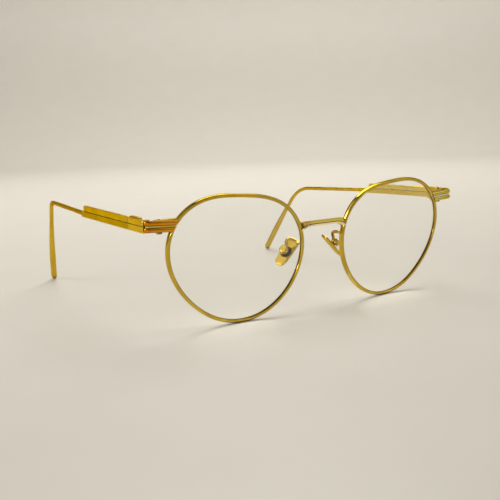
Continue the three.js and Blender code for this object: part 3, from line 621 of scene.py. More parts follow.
# %% The lens finish
lens_glass = bpy.data.materials.new("lens_glass")
lens_glass.use_nodes = True
tree = lens_glass.node_tree
glass = tree.nodes["Principled BSDF"]
glass.inputs["Base Color"].default_value = (0.99, 0.995, 0.985, 1)
glass.inputs["Transmission Weight"].default_value = 1.0
glass.inputs["IOR"].default_value = 1.5
where = tree.nodes.new("ShaderNodeTexCoord").outputs["Object"]
smudges = noise_node(tree, where, 210, 4)
tree.links.new(ramp_node(tree, smudges, 0.56, 0.8, 0.0, 0.035), glass.inputs["Roughness"])
through = tree.nodes.new("ShaderNodeBsdfTransparent")
through.inputs["Color"].default_value = (0.97, 0.975, 0.965, 1)
pane = tree.nodes.new("ShaderNodeMixShader")
tree.links.new(tree.nodes.new("ShaderNodeLightPath").outputs["Is Shadow Ray"], pane.inputs[0])
tree.links.new(glass.outputs["BSDF"], pane.inputs[1])
tree.links.new(through.outputs["BSDF"], pane.inputs[2])
tree.links.new(pane.outputs["Shader"], tree.nodes["Material Output"].inputs["Surface"])
settle_pair(lens, "lens_glass", "lens", "front", lens_glass)

# %% [markdown]
# ## A window to trim against
#
# The bridge and the end pieces are brazed to the rims and end inside them. A plug in the shape of everything
# inside the rim's centre line trims them there, so that nothing stands out into the lens opening.

# %% The trimming plugs
WINDOW_REACH = 6
left_window = sweep("left_window", [outline_ring(0, -WINDOW_REACH), outline_ring(0, WINDOW_REACH)])
place(left_window, in_front)
right_window = mirrored_copy(left_window)
face_out(right_window)
print("two trimming plugs,", len(left_window.data.polygons), "faces each")

# %% [markdown]
# ## The bridge
#
# The bridge is a small bar with a scored line along its front: a satin facet above it, a bevel below that
# carries a painted highlight, and ends that flare down like gussets and round off at the top, at the rims. A
# block's front is cut into rows, the rows are moved onto the bar's profile, and the bar is divided along its
# length so that each column near an end can be stretched down about the bar's top.

# %% Model the bridge
BRIDGE_TOP_Z = 33.65
BRIDGE_HEIGHT = 1.9
BRIDGE_FRONT_Y = -3.5
BRIDGE_BACK_Y = -1.6
BRIDGE_HALF_LENGTH = 10.4
BRIDGE_FLARE = 2.25
BRIDGE_FLARE_START = 5.8
BRIDGE_SHOULDER = 0.8
BRIDGE_SHOULDER_START = 8.4
BRIDGE_COLUMNS = 48
BRIDGE_ROUNDING = 0.1
# The rows of the front from the top down: a share of the height, and how far back the row lies.
BRIDGE_ROWS = [(1.0, 0.7), (0.53, 0.0), (0.46, 0.26), (0.39, 0.03), (0.0, 0.48)]

bridge_bottom_z = BRIDGE_TOP_Z - BRIDGE_HEIGHT
bridge = block("bridge", (-BRIDGE_HALF_LENGTH, BRIDGE_FRONT_Y, bridge_bottom_z),
               (BRIDGE_HALF_LENGTH, BRIDGE_BACK_Y, BRIDGE_TOP_Z))


def in_front_row(vertex, z):
    return near(vertex.co.y, BRIDGE_FRONT_Y) and near(vertex.co.z, z)


def lengthwise(edge):
    return abs(edge.verts[0].co.x - edge.verts[1].co.x) > BRIDGE_HALF_LENGTH


def at_top_or_bottom(edge):
    return any(near(middle_of(edge).z, z) for z in (BRIDGE_TOP_Z, bridge_bottom_z))


edit(bridge)
choose("EDGE", lambda e: near(middle_of(e).y, BRIDGE_FRONT_Y) and not lengthwise(e))
bpy.ops.mesh.subdivide(number_cuts=len(BRIDGE_ROWS) - 2)
for row, (share, back) in enumerate(BRIDGE_ROWS):
    row_z = BRIDGE_TOP_Z - BRIDGE_HEIGHT * row / (len(BRIDGE_ROWS) - 1)
    choose("VERT", lambda v: in_front_row(v, row_z))
    bpy.ops.transform.translate(value=(0, back, bridge_bottom_z + BRIDGE_HEIGHT * share - row_z))
softened = round_edges(
    lambda e: lengthwise(e) and sharp(e) and at_top_or_bottom(e), BRIDGE_ROUNDING, 3)
choose("EDGE", lengthwise)
bpy.ops.mesh.subdivide(number_cuts=BRIDGE_COLUMNS - 1)
for column in range(BRIDGE_COLUMNS + 1):
    x = BRIDGE_HALF_LENGTH * (2 * column / BRIDGE_COLUMNS - 1)
    flared = max(0, abs(x) - BRIDGE_FLARE_START) / (BRIDGE_HALF_LENGTH - BRIDGE_FLARE_START)
    rounded = max(0, abs(x) - BRIDGE_SHOULDER_START) / (BRIDGE_HALF_LENGTH - BRIDGE_SHOULDER_START)
    choose("VERT", lambda v: near(v.co.x, x))
    if flared > 0:
        stretch = 1 + BRIDGE_FLARE * flared * flared / BRIDGE_HEIGHT
        bpy.ops.transform.resize(value=(1, 1, stretch), center_override=(x, 0, BRIDGE_TOP_Z))
    if rounded > 0:
        squeeze = 1 - BRIDGE_SHOULDER * rounded * rounded / (BRIDGE_HEIGHT + BRIDGE_FLARE)
        foot_z = bridge_bottom_z - BRIDGE_FLARE * flared * flared
        bpy.ops.transform.resize(value=(1, 1, squeeze), center_override=(x, 0, foot_z))
rest_tools()
boolean(bridge, left_window, "DIFFERENCE", keep_tool=True)
boolean(bridge, right_window, "DIFFERENCE", keep_tool=True)
settle(bridge, "bridge_bar", "bridge", "front", bridge_gold)


def on_bevel(at, normal):
    """Looks forwards and a little down: these faces get a pale finish as a painted highlight."""
    return normal.y < -0.5 and normal.z < -0.2


# The bevel's forward and downward faces get the painted highlight.
repaint(bridge, bevel_highlight_gold, on_bevel)
print("bridge edges softened:", softened)

# %% [markdown]
# ## The end pieces
#
# Each end piece is two half-round bars with a recessed strip between them. It starts on the rim, runs outward
# and turns back at the corner, towards the temple. One section with both bars and the strip is swept along
# that line and climbs a little on the way, and the plug trims its inner end on the rim. The near pair's bars
# carry a painted orange reflection, their tops a painted dark reflection and their undersides painted shade, and
# each pair's strip gets a finish of its own; the far strip's pale finish is a painted highlight.

# %% Sweep the end pieces
END_INNER_Z = 37.05
END_OUTER_Z = 37.65
END_HEIGHT = 3.8
BAR_HEIGHT = 1.55
BAR_STEPS = 10
BAR_SIDE_DEPTH = 1.05
BAR_CREST_DEPTH = 1.55
RECESS_DEPTH = 1.13
CREASE_DEPTH = 0.92
CREASE_WIDTH = 0.07
END_BACK_Y = 0.25
END_INNER_X = 56.0
END_OUTER_X = 69.35
END_INNER_RADIUS = 0.15
END_BUTT_Y = 1.2
BUTT_ROUNDING = 0.12
CORNER_STEPS = 14


def end_section():
    """Depth and height of the two bars and the strip, from the bottom up."""
    half = END_HEIGHT / 2
    points = [(0.0, -half)]
    for way, centre in ((1, -half + BAR_HEIGHT / 2), (-1, half - BAR_HEIGHT / 2)):
        bar = []
        for i in range(BAR_STEPS + 1):
            turn = math.pi * (i / BAR_STEPS - 0.5)
            depth = BAR_SIDE_DEPTH + (BAR_CREST_DEPTH - BAR_SIDE_DEPTH) * math.cos(turn)
            bar.append((depth, centre + BAR_HEIGHT / 2 * math.sin(turn)))
        strip_z = -way * (half - BAR_HEIGHT - CREASE_WIDTH)
        crease = [(CREASE_DEPTH, strip_z - way * CREASE_WIDTH / 2), (RECESS_DEPTH, strip_z)]
        points += bar + crease if way > 0 else crease[::-1] + bar
    return points + [(0.0, half)]


def end_middle(x):
    """The height of the middle of the bars, which climb on their way out."""
    climb = (x - END_INNER_X) / (END_OUTER_X - END_INNER_X)
    return END_INNER_Z + (END_OUTER_Z - END_INNER_Z) * climb


def end_ring(x, y, turn, section):
    middle_z = end_middle(x)
    return [Vector((x + d * math.sin(turn), y - d * math.cos(turn), middle_z + h)) for d, h in section]


def end_line():
    """Where the back face runs, and which way it looks there."""
    back_x = END_OUTER_X - BAR_CREST_DEPTH
    bend_x = back_x - END_INNER_RADIUS
    start_x = bend_x + END_INNER_RADIUS * math.sin(WRAP)
    start_y = END_BACK_Y + (start_x - END_INNER_X) * math.tan(WRAP)
    bend_y = start_y + END_INNER_RADIUS * math.cos(WRAP)
    line = [(END_INNER_X, END_BACK_Y, WRAP)]
    for i in range(CORNER_STEPS + 1):
        turn = WRAP + (math.pi / 2 - WRAP) * i / CORNER_STEPS
        x = bend_x + END_INNER_RADIUS * math.sin(turn)
        y = bend_y - END_INNER_RADIUS * math.cos(turn)
        line.append((x, y, turn))
    return line + [(back_x, END_BUTT_Y, math.pi / 2)]


def around_butt(edge):
    """The edges of the end face, which is the one face here with more than four corners."""
    corners = max(len(face.verts) for face in edge.link_faces)
    return sharp(edge) and near(middle_of(edge).y, END_BUTT_Y) and corners > 4


section = end_section()
end_piece = sweep("end_piece", [end_ring(x, y, turn, section) for x, y, turn in end_line()])
soften(end_piece, around_butt, BUTT_ROUNDING, 2)
boolean(end_piece, left_window, "DIFFERENCE", keep_tool=True)
left_bars, right_bars = settle_pair(
    end_piece, "end_bars", "end_piece", "front", bar_gold, orange_reflection_bar_gold)


def in_groove(at, normal):
    return abs(at.z - end_middle(abs(at.x))) < END_HEIGHT / 2 - BAR_HEIGHT - CREASE_WIDTH


def on_top_or_under(at, normal):
    return abs(normal.z) > 0.75


# The far strip gets the painted highlight.
repaint(left_bars, groove_highlight_gold, in_groove)
repaint(right_bars, warm_groove_gold, in_groove)
# The near bars' faces that look up or down take the painted dark reflection and shade.
repaint(right_bars, top_reflection_and_shade_gold, on_top_or_under)

# %% [markdown]
# ## The closing blocks
#
# Behind each end piece two small blocks are brazed to the two lips of the slit. A screw draws them together
# and shuts the rim on the lens. Their inner sides follow the slope of the rim, so an outline of four corners
# is extruded, its edges are rounded, and the screw's hole is bored through.

# %% Model the closing blocks
CLOSING_BOTTOM_Z = 35.25
CLOSING_TOP_Z = 39.35
CLOSING_OUTER_X = 65.0
CLOSING_FRONT_Y = 1.0
CLOSING_BACK_Y = 3.1
CLOSING_SCREW_X = 63.6
CLOSING_SCREW_RADIUS = 0.7
CLOSING_ROUNDING = 0.18
THREAD_GAP = 0.06
SLOPE_SPAN = math.radians(5)
closing_screw_y = (CLOSING_FRONT_Y + CLOSING_BACK_Y) / 2
slit = in_front @ beside_outline(SLIT_ANGLE, 0, 0)
above_slit = in_front @ beside_outline(SLIT_ANGLE + SLOPE_SPAN, 0, 0)
rim_slope = (above_slit.x - slit.x) / (above_slit.z - slit.z)


def closing_block(name, low, high):
    corners = [(slit.x + (low - slit.z) * rim_slope, low), (CLOSING_OUTER_X, low),
               (CLOSING_OUTER_X, high), (slit.x + (high - slit.z) * rim_slope, high)]
    piece = sweep(name, [[Vector((x, y, z)) for x, z in corners] for y in (CLOSING_FRONT_Y, CLOSING_BACK_Y)])
    soften(piece, any_edge, CLOSING_ROUNDING)
    hole = drum("hole", CLOSING_SCREW_RADIUS + THREAD_GAP, low - 1, high + 1)
    place(hole, Matrix.Translation((CLOSING_SCREW_X, closing_screw_y, 0)))
    return boolean(piece, hole, "DIFFERENCE")


upper_block = closing_block("upper_block", slit.z + SLIT_HALF_GAP, CLOSING_TOP_Z)
lower_block = closing_block("lower_block", CLOSING_BOTTOM_Z, slit.z - SLIT_HALF_GAP)
settle_pair(upper_block, "rim_lock_upper", "closing_block_upper", "front", braze_gold)
settle_pair(lower_block, "rim_lock_lower", "closing_block_lower", "front", braze_gold)

# %% [markdown]
# ## The hinges
#
# The front carries a leaf with two knuckles, and the temple one knuckle between them. Each knuckle is a drum
# with softened rims, joined to the block that carries it, and all three are bored for the pin.

# %% Model both halves of the hinge
KNUCKLE_RADIUS = 1.2
HINGE_BOTTOM_Z = 35.9
HINGE_TOP_Z = 38.9
MIDDLE_KNUCKLE_HEIGHT = 1.1
KNUCKLE_GAP = 0.1
LEAF_INNER_X = 65.4
LEAF_OUTER_X = 67.2
LEAF_FRONT_Y = 1.15
LEAF_BACK_Y = 2.6
TAB_FRONT_Y = 3.0
TAB_BACK_Y = 6.08
TAB_OUTER_X = 68.43
HINGE_SCREW_RADIUS = 0.6
LEAF_ROUNDING = 0.15
KNUCKLE_ROUNDING = 0.14
NECK_OVERLAP = 0.5
NECK_SET_IN = 0.3
SQUARE_ANGLE = math.radians(60)
hinge_middle_z = (HINGE_BOTTOM_Z + HINGE_TOP_Z) / 2
at_hinge = Matrix.Translation((HINGE_X, HINGE_Y, 0))


def knuckle(low, high):
    piece = drum("knuckle", KNUCKLE_RADIUS, low, high)
    soften(piece, lambda e: sharp(e, SQUARE_ANGLE), KNUCKLE_ROUNDING)
    return place(piece, at_hinge)


def bored(piece):
    bore = drum("bore", HINGE_SCREW_RADIUS + THREAD_GAP, HINGE_BOTTOM_Z - 1, HINGE_TOP_Z + 1)
    return boolean(piece, place(bore, at_hinge), "DIFFERENCE")


hinge_front = soft_block("hinge_front", (LEAF_INNER_X, LEAF_FRONT_Y, HINGE_BOTTOM_Z),
                         (LEAF_OUTER_X, LEAF_BACK_Y, HINGE_TOP_Z), LEAF_ROUNDING)
half_gap = MIDDLE_KNUCKLE_HEIGHT / 2 + KNUCKLE_GAP
for low, high in ((HINGE_BOTTOM_Z, hinge_middle_z - half_gap), (hinge_middle_z + half_gap, HINGE_TOP_Z)):
    neck = soft_block("neck", (LEAF_INNER_X, LEAF_BACK_Y - NECK_OVERLAP, low),
                      (LEAF_OUTER_X - NECK_SET_IN, HINGE_Y, high), KNUCKLE_ROUNDING)
    boolean(hinge_front, neck, "UNION")
    boolean(hinge_front, knuckle(low, high), "UNION")
settle_pair(bored(hinge_front), "hinge_leaf", "hinge_front", "front", braze_gold)

tab_low = hinge_middle_z - MIDDLE_KNUCKLE_HEIGHT / 2
tab_high = hinge_middle_z + MIDDLE_KNUCKLE_HEIGHT / 2
hinge_temple = soft_block("hinge_temple", (HINGE_X, TAB_FRONT_Y, tab_low),
                          (TAB_OUTER_X, TAB_BACK_Y, tab_high), KNUCKLE_ROUNDING)
boolean(hinge_temple, knuckle(tab_low, tab_high), "UNION")
settle_pair(bored(hinge_temple), "hinge_knuckle", "hinge_temple", "{side}_temple", braze_gold)

# %% [markdown]
# ## The screws
#
# Six small slotted screws hold the frame together: one in each hinge, one in each closing block and one in each
# nose pad. A head is a drum whose lower face is inset and drawn out into the shank. Its rim is rounded, the tip
# is chamfered, and a driver slot is cut across the top.

# %% Model a slotted screw
HEAD_HEIGHT = 0.5
HEAD_CROWN = 0.45
TIP_CHAMFER = 0.25
TIP_STANDS_OUT = 0.15
SLOT_WIDTH = 0.3
SLOT_DEPTH = 0.25


def slotted_screw(name, head_radius, head_height, radius, length, slot_depth):
    """A screw with the top of its head at zero and its shank pointing down."""
    piece = drum(name, head_radius, -head_height, 0)
    edit(piece)
    choose("FACE", lambda f: f.normal.z < -0.9)
    bpy.ops.mesh.inset(thickness=head_radius - radius)
    bpy.ops.mesh.extrude_region_move(TRANSFORM_OT_translate={"value": (0, 0, head_height - length)})
    round_edges(lambda e: near(middle_of(e).z, 0) and sharp(e), head_height * HEAD_CROWN, 4)
    round_edges(lambda e: near(middle_of(e).z, -length) and sharp(e), radius * TIP_CHAMFER, 1)
    rest_tools()
    reach = head_radius + 1
    slot = block("slot", (-reach, -SLOT_WIDTH / 2, -slot_depth), (reach, SLOT_WIDTH / 2, 1))
    return boolean(piece, slot, "DIFFERENCE")


HINGE_HEAD_RADIUS = 1.05
hinge_head_z = HINGE_TOP_Z + HEAD_HEIGHT + KNUCKLE_GAP
hinge_length = hinge_head_z - HINGE_BOTTOM_Z + TIP_STANDS_OUT
hinge_screw = slotted_screw(
    "hinge_screw", HINGE_HEAD_RADIUS, HEAD_HEIGHT, HINGE_SCREW_RADIUS, hinge_length, SLOT_DEPTH)
place(hinge_screw, Matrix.Translation((HINGE_X, HINGE_Y, hinge_head_z)))
settle_pair(hinge_screw, "hinge_pin", "hinge_screw", "front", screw_steel)

CLOSING_HEAD_RADIUS = 1.0
CLOSING_STANDS_OUT = 0.2
closing_head_z = CLOSING_BOTTOM_Z - HEAD_HEIGHT - KNUCKLE_GAP
closing_length = CLOSING_TOP_Z + CLOSING_STANDS_OUT - closing_head_z
closing_screw = slotted_screw(
    "closing_screw", CLOSING_HEAD_RADIUS, HEAD_HEIGHT, CLOSING_SCREW_RADIUS, closing_length, SLOT_DEPTH)
upside_down = Matrix.Rotation(math.pi, 4, "X")
place(closing_screw, Matrix.Translation((CLOSING_SCREW_X, closing_screw_y, closing_head_z)) @ upside_down)
settle_pair(closing_screw, "rim_lock_pin", "closing_screw", "front", screw_steel)

# %% [markdown]
# ## The temples
#
# A temple starts at the hinge with a short grooved block and a housing on its inner side. Two flat strips run
# on behind it: the upper one stops with a rounded corner, and the lower one goes on as the ear wire. Both
# temples splay out a little, and in this pair one is set a touch higher, so each is placed by its own turn.

# %% Setting of each temple
TEMPLE_CENTRE_Z = 37.7
TEMPLE_INNER_X = 68.55
TEMPLE_THICKNESS = 1.15
TEMPLE_HEIGHT = 4.4
UPPER_STRIP_HEIGHT = 2.05
STRIP_GAP = 0.15
STRIP_ROUNDING = 0.16
STRIP_END_RADIUS = 0.9
BLOCK_FRONT_Y = 1.55
BLOCK_BACK_Y = 12.95
SEAM_GAP = 0.25
UPPER_STRIP_BACK_Y = 51.65
LOWER_STRIP_BACK_Y = 53.4
TEMPLE_SPLAY = math.radians(1.5)
TEMPLE_RISE = {"left": math.radians(-0.75), "right": math.radians(1.45)}
temple_bottom_z = TEMPLE_CENTRE_Z - TEMPLE_HEIGHT / 2
temple_top_z = TEMPLE_CENTRE_Z + TEMPLE_HEIGHT / 2
temple_outer_x = TEMPLE_INNER_X + TEMPLE_THICKNESS
upper_strip_z = temple_top_z - UPPER_STRIP_HEIGHT
strip_front_y = BLOCK_BACK_Y + SEAM_GAP


def temple_setting(side):
    pivot = Matrix.Translation((HINGE_X, HINGE_Y, TEMPLE_CENTRE_Z))
    turned = Matrix.Rotation(-TEMPLE_SPLAY, 4, "Z") @ Matrix.Rotation(TEMPLE_RISE[side], 4, "X")
    return pivot @ turned @ pivot.inverted()


def settle_temple(make, name, node, finish):
    return settle_bent(make, name, node, "{side}_temple", finish)


for side, rise in TEMPLE_RISE.items():
    print("the", side, "temple rises by", round(math.degrees(rise), 2), "degrees")

# %% [markdown]
# ## The temple's front block and upper strip
#
# The block's outer face carries on the dark line between the two strips as a groove, so it is an outline with a
# V in it, drawn out along the temple, with its two ends tapered into a small chamfer. The strip is a block whose
# upper rear corner is bevelled round first, and then all of its edges.

# %% Model the blocks and upper strips
HOUSING_INNER_X = 67.45
HOUSING_FRONT_Y = 6.2
HOUSING_BACK_Y = 12.6
HOUSING_HEIGHT = 5.0
BLOCK_GROOVE = 0.16
BLOCK_GROOVE_DEPTH = 0.25
END_CHAMFER = 0.1
SEAM_CHAMFER = 0.24
SEAM_REACH = 0.5
HOUSING_OVERLAP = 0.3
HOUSING_ROUNDING = 0.14
CORNER_CUT = 0.3
GROOVE_FLOOR = 0.03
LARGE_FACE = 6
WEAR_MARGIN = 0.12


def block_ring(y, inset):
    inner = TEMPLE_INNER_X + inset
    outer = temple_outer_x - inset
    low = temple_bottom_z + inset
    high = temple_top_z - inset
    groove_z = upper_strip_z - STRIP_GAP / 2
    floor_x = outer - BLOCK_GROOVE_DEPTH
    r = STRIP_ROUNDING
    cut = r * CORNER_CUT
    corners = [(inner + r / 2, low), (outer - r, low), (outer - cut, low + cut), (outer, low + r),
               (outer, groove_z - BLOCK_GROOVE), (floor_x, groove_z - GROOVE_FLOOR),
               (floor_x, groove_z + GROOVE_FLOOR), (outer, groove_z + BLOCK_GROOVE),
               (outer, high - r), (outer - cut, high - cut), (outer - r, high), (inner + r / 2, high),
               (inner, high - r / 2), (inner, low + r / 2)]
    return [Vector((x, y, z)) for x, z in corners]


def front_block(side):
    ends = [block_ring(BLOCK_FRONT_Y, END_CHAMFER), block_ring(BLOCK_FRONT_Y + END_CHAMFER, 0),
            block_ring(BLOCK_BACK_Y - SEAM_CHAMFER, 0), block_ring(BLOCK_BACK_Y, SEAM_CHAMFER)]
    piece = sweep("front_block", ends)
    edit(piece)
    margin(LARGE_FACE, WEAR_MARGIN)
    rest_tools()
    half = HOUSING_HEIGHT / 2
    housing = soft_block("housing", (HOUSING_INNER_X, HOUSING_FRONT_Y, TEMPLE_CENTRE_Z - half),
                         (TEMPLE_INNER_X + HOUSING_OVERLAP, HOUSING_BACK_Y, TEMPLE_CENTRE_Z + half),
                         HOUSING_ROUNDING)
    return place(boolean(piece, housing, "UNION"), temple_setting(side))


def upper_strip(side):
    piece = block("upper_strip", (TEMPLE_INNER_X, strip_front_y, upper_strip_z),
                  (temple_outer_x, UPPER_STRIP_BACK_Y, temple_top_z))
    edit(piece)
    round_edges(lambda e: near(middle_of(e).y, UPPER_STRIP_BACK_Y) and near(middle_of(e).z, temple_top_z),
                STRIP_END_RADIUS, 8)
    round_edges(sharp, STRIP_ROUNDING, 3)
    margin(LARGE_FACE, WEAR_MARGIN)
    rest_tools()
    return place(piece, temple_setting(side))


def in_seam(at, normal):
    """The chamfer and the end face that look back into the seam, painted near black as shade in the gap."""
    return normal.y > 0.3 and near(at.y, BLOCK_BACK_Y, SEAM_REACH)


# The faces that look into the seam get painted shade.
for grooved in settle_temple(front_block, "temple_grooved_block", "temple_front_block", plate_gold):
    repaint(grooved, seam_shade_gold, in_seam)
settle_temple(upper_strip, "temple_top_strip", "temple_upper_strip", plate_gold)

# %% [markdown]
# ## The ear wires
#
# The lower strip narrows in a step to a round wire, runs back to the ear and bends down: on a wide radius on the
# left, on a tight one on the right. The drop bows back a little and swells into a rounded paddle with a domed
# tip. One section with the same number of points all the way, a rounded rectangle that becomes a circle and
# then a fat oval, is extruded through all of it.

# %% Where the ear wire runs
WIRE_RADIUS = 0.85
WIRE_TAPER_LENGTH = 0.8
ELBOW = Vector((63.75, 103.8, 36.05))
ELBOW_RADIUS = {"left": 17.0, "right": 7.0}
ELBOW_STEPS = 28
WIRE_TIP = Vector((60.6, 127.1, 0.322))
DROP_BOW = {"left": 0.5, "right": 1.3}
DROP_STEPS = 30
SWELL_START = 0.24
SWELL_END = 0.65
PADDLE_WIDTH = 2.78
PADDLE_THICKNESS = 2.44
PADDLE_CORNER = 1.14
TIP_ROUNDING = 0.033
TIP_STEPS = 8
TIP_POINT = 0.14


def between(a, b, share):
    return a + (b - a) * share


def drop_size(share):
    """Half thickness, half width and corner radius at a share of the way down the drop."""
    wire = (WIRE_RADIUS, WIRE_RADIUS, WIRE_RADIUS)
    paddle = (PADDLE_THICKNESS / 2, PADDLE_WIDTH / 2, PADDLE_CORNER)
    swell = min(max((share - SWELL_START) / (SWELL_END - SWELL_START), 0), 1)
    into_tip = max(0, (share - 1 + TIP_ROUNDING) / TIP_ROUNDING)
    shrink = max(TIP_POINT, math.sqrt(max(0, 1 - into_tip * into_tip)))
    return tuple(shrink * between(a, b, swell) for a, b in zip(wire, paddle))


def wire_stops(side):
    """Where the wire runs: a place, a direction and the size of the section there."""
    setting = temple_setting(side)
    strip_height = TEMPLE_HEIGHT - UPPER_STRIP_HEIGHT - STRIP_GAP
    strip = (TEMPLE_THICKNESS / 2, strip_height / 2, STRIP_ROUNDING)
    small = (TEMPLE_THICKNESS / 2 - END_CHAMFER, strip_height / 2 - END_CHAMFER, STRIP_ROUNDING)
    strip_x = TEMPLE_INNER_X + TEMPLE_THICKNESS / 2
    strip_z = temple_bottom_z + strip_height / 2
    wire_z = temple_bottom_z + strip_height - WIRE_RADIUS
    backward = (setting.to_3x3() @ Vector((0, 1, 0))).normalized()
    start = setting @ Vector((strip_x, LOWER_STRIP_BACK_Y + WIRE_TAPER_LENGTH, wire_z))
    elbow = setting @ ELBOW
    run = (elbow - start).normalized()
    fall = WIRE_TIP - elbow
    stops = []
    for y, size in ((strip_front_y, small), (strip_front_y + END_CHAMFER, strip),
                    (LOWER_STRIP_BACK_Y - END_CHAMFER, strip), (LOWER_STRIP_BACK_Y, small)):
        stops.append((setting @ Vector((strip_x, y, strip_z)), backward, size))
    stops.append((start, run, drop_size(0)))

    bow = backward * DROP_BOW[side]
    drop = (fall + bow * math.pi).normalized()
    bend = run.angle(drop)
    radius = ELBOW_RADIUS[side]
    bend_start = elbow - run * radius * math.tan(bend / 2)
    inward = (drop - run * drop.dot(run)).normalized()
    for i in range(ELBOW_STEPS + 1):
        turn = bend * i / ELBOW_STEPS
        at = bend_start + run * radius * math.sin(turn) + inward * radius * (1 - math.cos(turn))
        stops.append((at, run * math.cos(turn) + inward * math.sin(turn), drop_size(0)))

    shares = [between(SWELL_START, 1 - TIP_ROUNDING, i / DROP_STEPS) for i in range(DROP_STEPS)]
    leans = [math.pi / 2 * i / TIP_STEPS for i in range(TIP_STEPS + 1)]
    shares += [1 - TIP_ROUNDING * (1 - math.sin(lean)) for lean in leans]
    for share in shares:
        at = elbow + fall * share + bow * math.sin(math.pi * share)
        along = (fall + bow * math.pi * math.cos(math.pi * share)).normalized()
        stops.append((at, along, drop_size(share)))
    return stops


print("stops along a wire:", len(wire_stops("left")))

# %% [markdown]
# ## Drawing the wire out
#
# The section is turned square to the wire at each stop and kept level with one sideways direction, so that it
# doesn't twist on its way round the bend. The extrudes then follow the stops from the seam to the tip.

# %% Sweep the ear wires
def rings_along(stops, sideways, per_corner=5):
    """The rounded section at each stop, kept level with one sideways direction."""
    rings = []
    for at, along, size in stops:
        across = (sideways - along * sideways.dot(along)).normalized()
        over = across.cross(along)
        rings.append([at + across * p.x + over * p.y for p in rounded_section(*size, per_corner)])
    return rings


def ear_wire(side):
    sideways = (temple_setting(side).to_3x3() @ Vector((1, 0, 0))).normalized()
    piece = sweep("ear_wire", rings_along(wire_stops(side), sideways))
    edit(piece)
    margin(LARGE_FACE, WEAR_MARGIN)
    rest_tools()
    return piece


settle_temple(ear_wire, "temple_ear_wire", "temple_wire", wire_gold)

# %% [markdown]
# ## The nose pads
#
# The pads are metal plates, one to each side of the nose: a soft rectangle that tapers downwards. A pad is drawn
# in a frame of its own, with the nose towards minus x, and its edge is rounded by drawing the outline in at both
# faces. A stem on its back goes into a round box, where a small screw lets it rock. The near pad has a painted
# shadow around the box.

# %% Model the pads
PAD_CENTRE = Vector((10.8, 5.9, 21.8))
PAD_FRONTAL_ANGLE = math.radians(43)
PAD_SPLAY_ANGLE = math.radians(15)
PAD_LENGTH = 11.3
PAD_WIDTH = 5.3
PAD_TAPER = 0.42
PAD_THICKNESS = 0.9
PAD_SQUARENESS = 0.5
PAD_STEPS = 96
PAD_EDGE = 0.26
PAD_EDGE_STEPS = 5
STEM_WIDTH = 0.9
STEM_LENGTH = 1.3
STEM_TIP = 2.4
STEM_ROUNDING = 0.12
PAD_PIVOT = 1.8
PAD_SCREW_RADIUS = 0.38
BORE_REACH = 3
BORE_SIDES = 32
pad_turn = Matrix.Rotation(-PAD_FRONTAL_ANGLE, 4, "Y") @ Matrix.Rotation(-PAD_SPLAY_ANGLE, 4, "Z")
pad_place = Matrix.Translation(PAD_CENTRE) @ pad_turn


def fuller(value):
    return math.copysign(abs(value) ** PAD_SQUARENESS, value)


def pad_ring(depth, inset):
    ring = []
    for i in range(PAD_STEPS):
        turn = 2 * math.pi * (i + 0.5) / PAD_STEPS
        half_width = PAD_WIDTH / 2 + PAD_TAPER * math.sin(turn) - inset
        ring.append(Vector((depth, half_width * fuller(math.cos(turn)),
                            (PAD_LENGTH / 2 - inset) * fuller(math.sin(turn)))))
    return ring


def pad_rings():
    """From the nose side to the back, with both edges turned in on a quarter round."""
    front = []
    for i in range(PAD_EDGE_STEPS + 1):
        lean = math.pi / 2 * i / PAD_EDGE_STEPS
        front.append((-PAD_THICKNESS / 2 + PAD_EDGE * (1 - math.cos(lean)), PAD_EDGE * (1 - math.sin(lean))))
    back = [(-depth, inset) for depth, inset in reversed(front)]
    return [pad_ring(depth, inset) for depth, inset in front + back]


nose_pad = sweep("nose_pad", pad_rings())
stem = soft_block("stem", (0, -STEM_WIDTH / 2, -STEM_LENGTH / 2),
                  (STEM_TIP, STEM_WIDTH / 2, STEM_LENGTH / 2), STEM_ROUNDING)
boolean(nose_pad, stem, "UNION")
across_y = Matrix.Rotation(-math.pi / 2, 4, "X")
at_pivot = Matrix.Translation((PAD_PIVOT, 0, 0)) @ across_y


def pad_bore():
    return place(drum("bore", PAD_SCREW_RADIUS + THREAD_GAP, -BORE_REACH, BORE_REACH, BORE_SIDES), at_pivot)


boolean(nose_pad, pad_bore(), "DIFFERENCE")
place(nose_pad, pad_place)
# The near pad gets a painted shadow around its box.
shadow_ring_middle = to_metres @ MIRROR @ pad_place @ Vector((PAD_THICKNESS / 2, 0, 0))
pad_shadow_ring_gold = metal_finish(
    "pad_shadow_ring_gold", *PAD_TONES, shadow_ring=((0.012, 0.008, 0.003), shadow_ring_middle, 0.0022, 0.00235))
settle_pair(nose_pad, "pad_plate", "nose_pad", "{side}_pad", pad_gold, pad_shadow_ring_gold)

# %% [markdown]
# ## The pad boxes and their screws
#
# Each pad's stem sits in a round box like a small cup, with a dimple in its outer face. The box starts as a
# drum: its outer rim is bevelled round, the face is inset and pushed in for the dimple, and the cup and the
# crosswise hole for the screw are cut out of it.

# %% Model the pad boxes and screws
BOX_RADIUS = 1.7
BOX_FROM = 1.2
BOX_TO = 3.05
BOX_ROOF = 0.42
BOX_CROWN = 0.5
BOX_FOOT_ROUNDING = 0.12
BOX_SLOT_WIDTH = 1.2
BOX_SLOT_LENGTH = 2.3
DIMPLE_RADIUS = 0.4
DIMPLE_DEPTH = 0.2
DIMPLE_ROUNDING = 0.07
PAD_HEAD_RADIUS = 0.65
PAD_HEAD_HEIGHT = 0.4
PAD_SLOT_DEPTH = 0.16

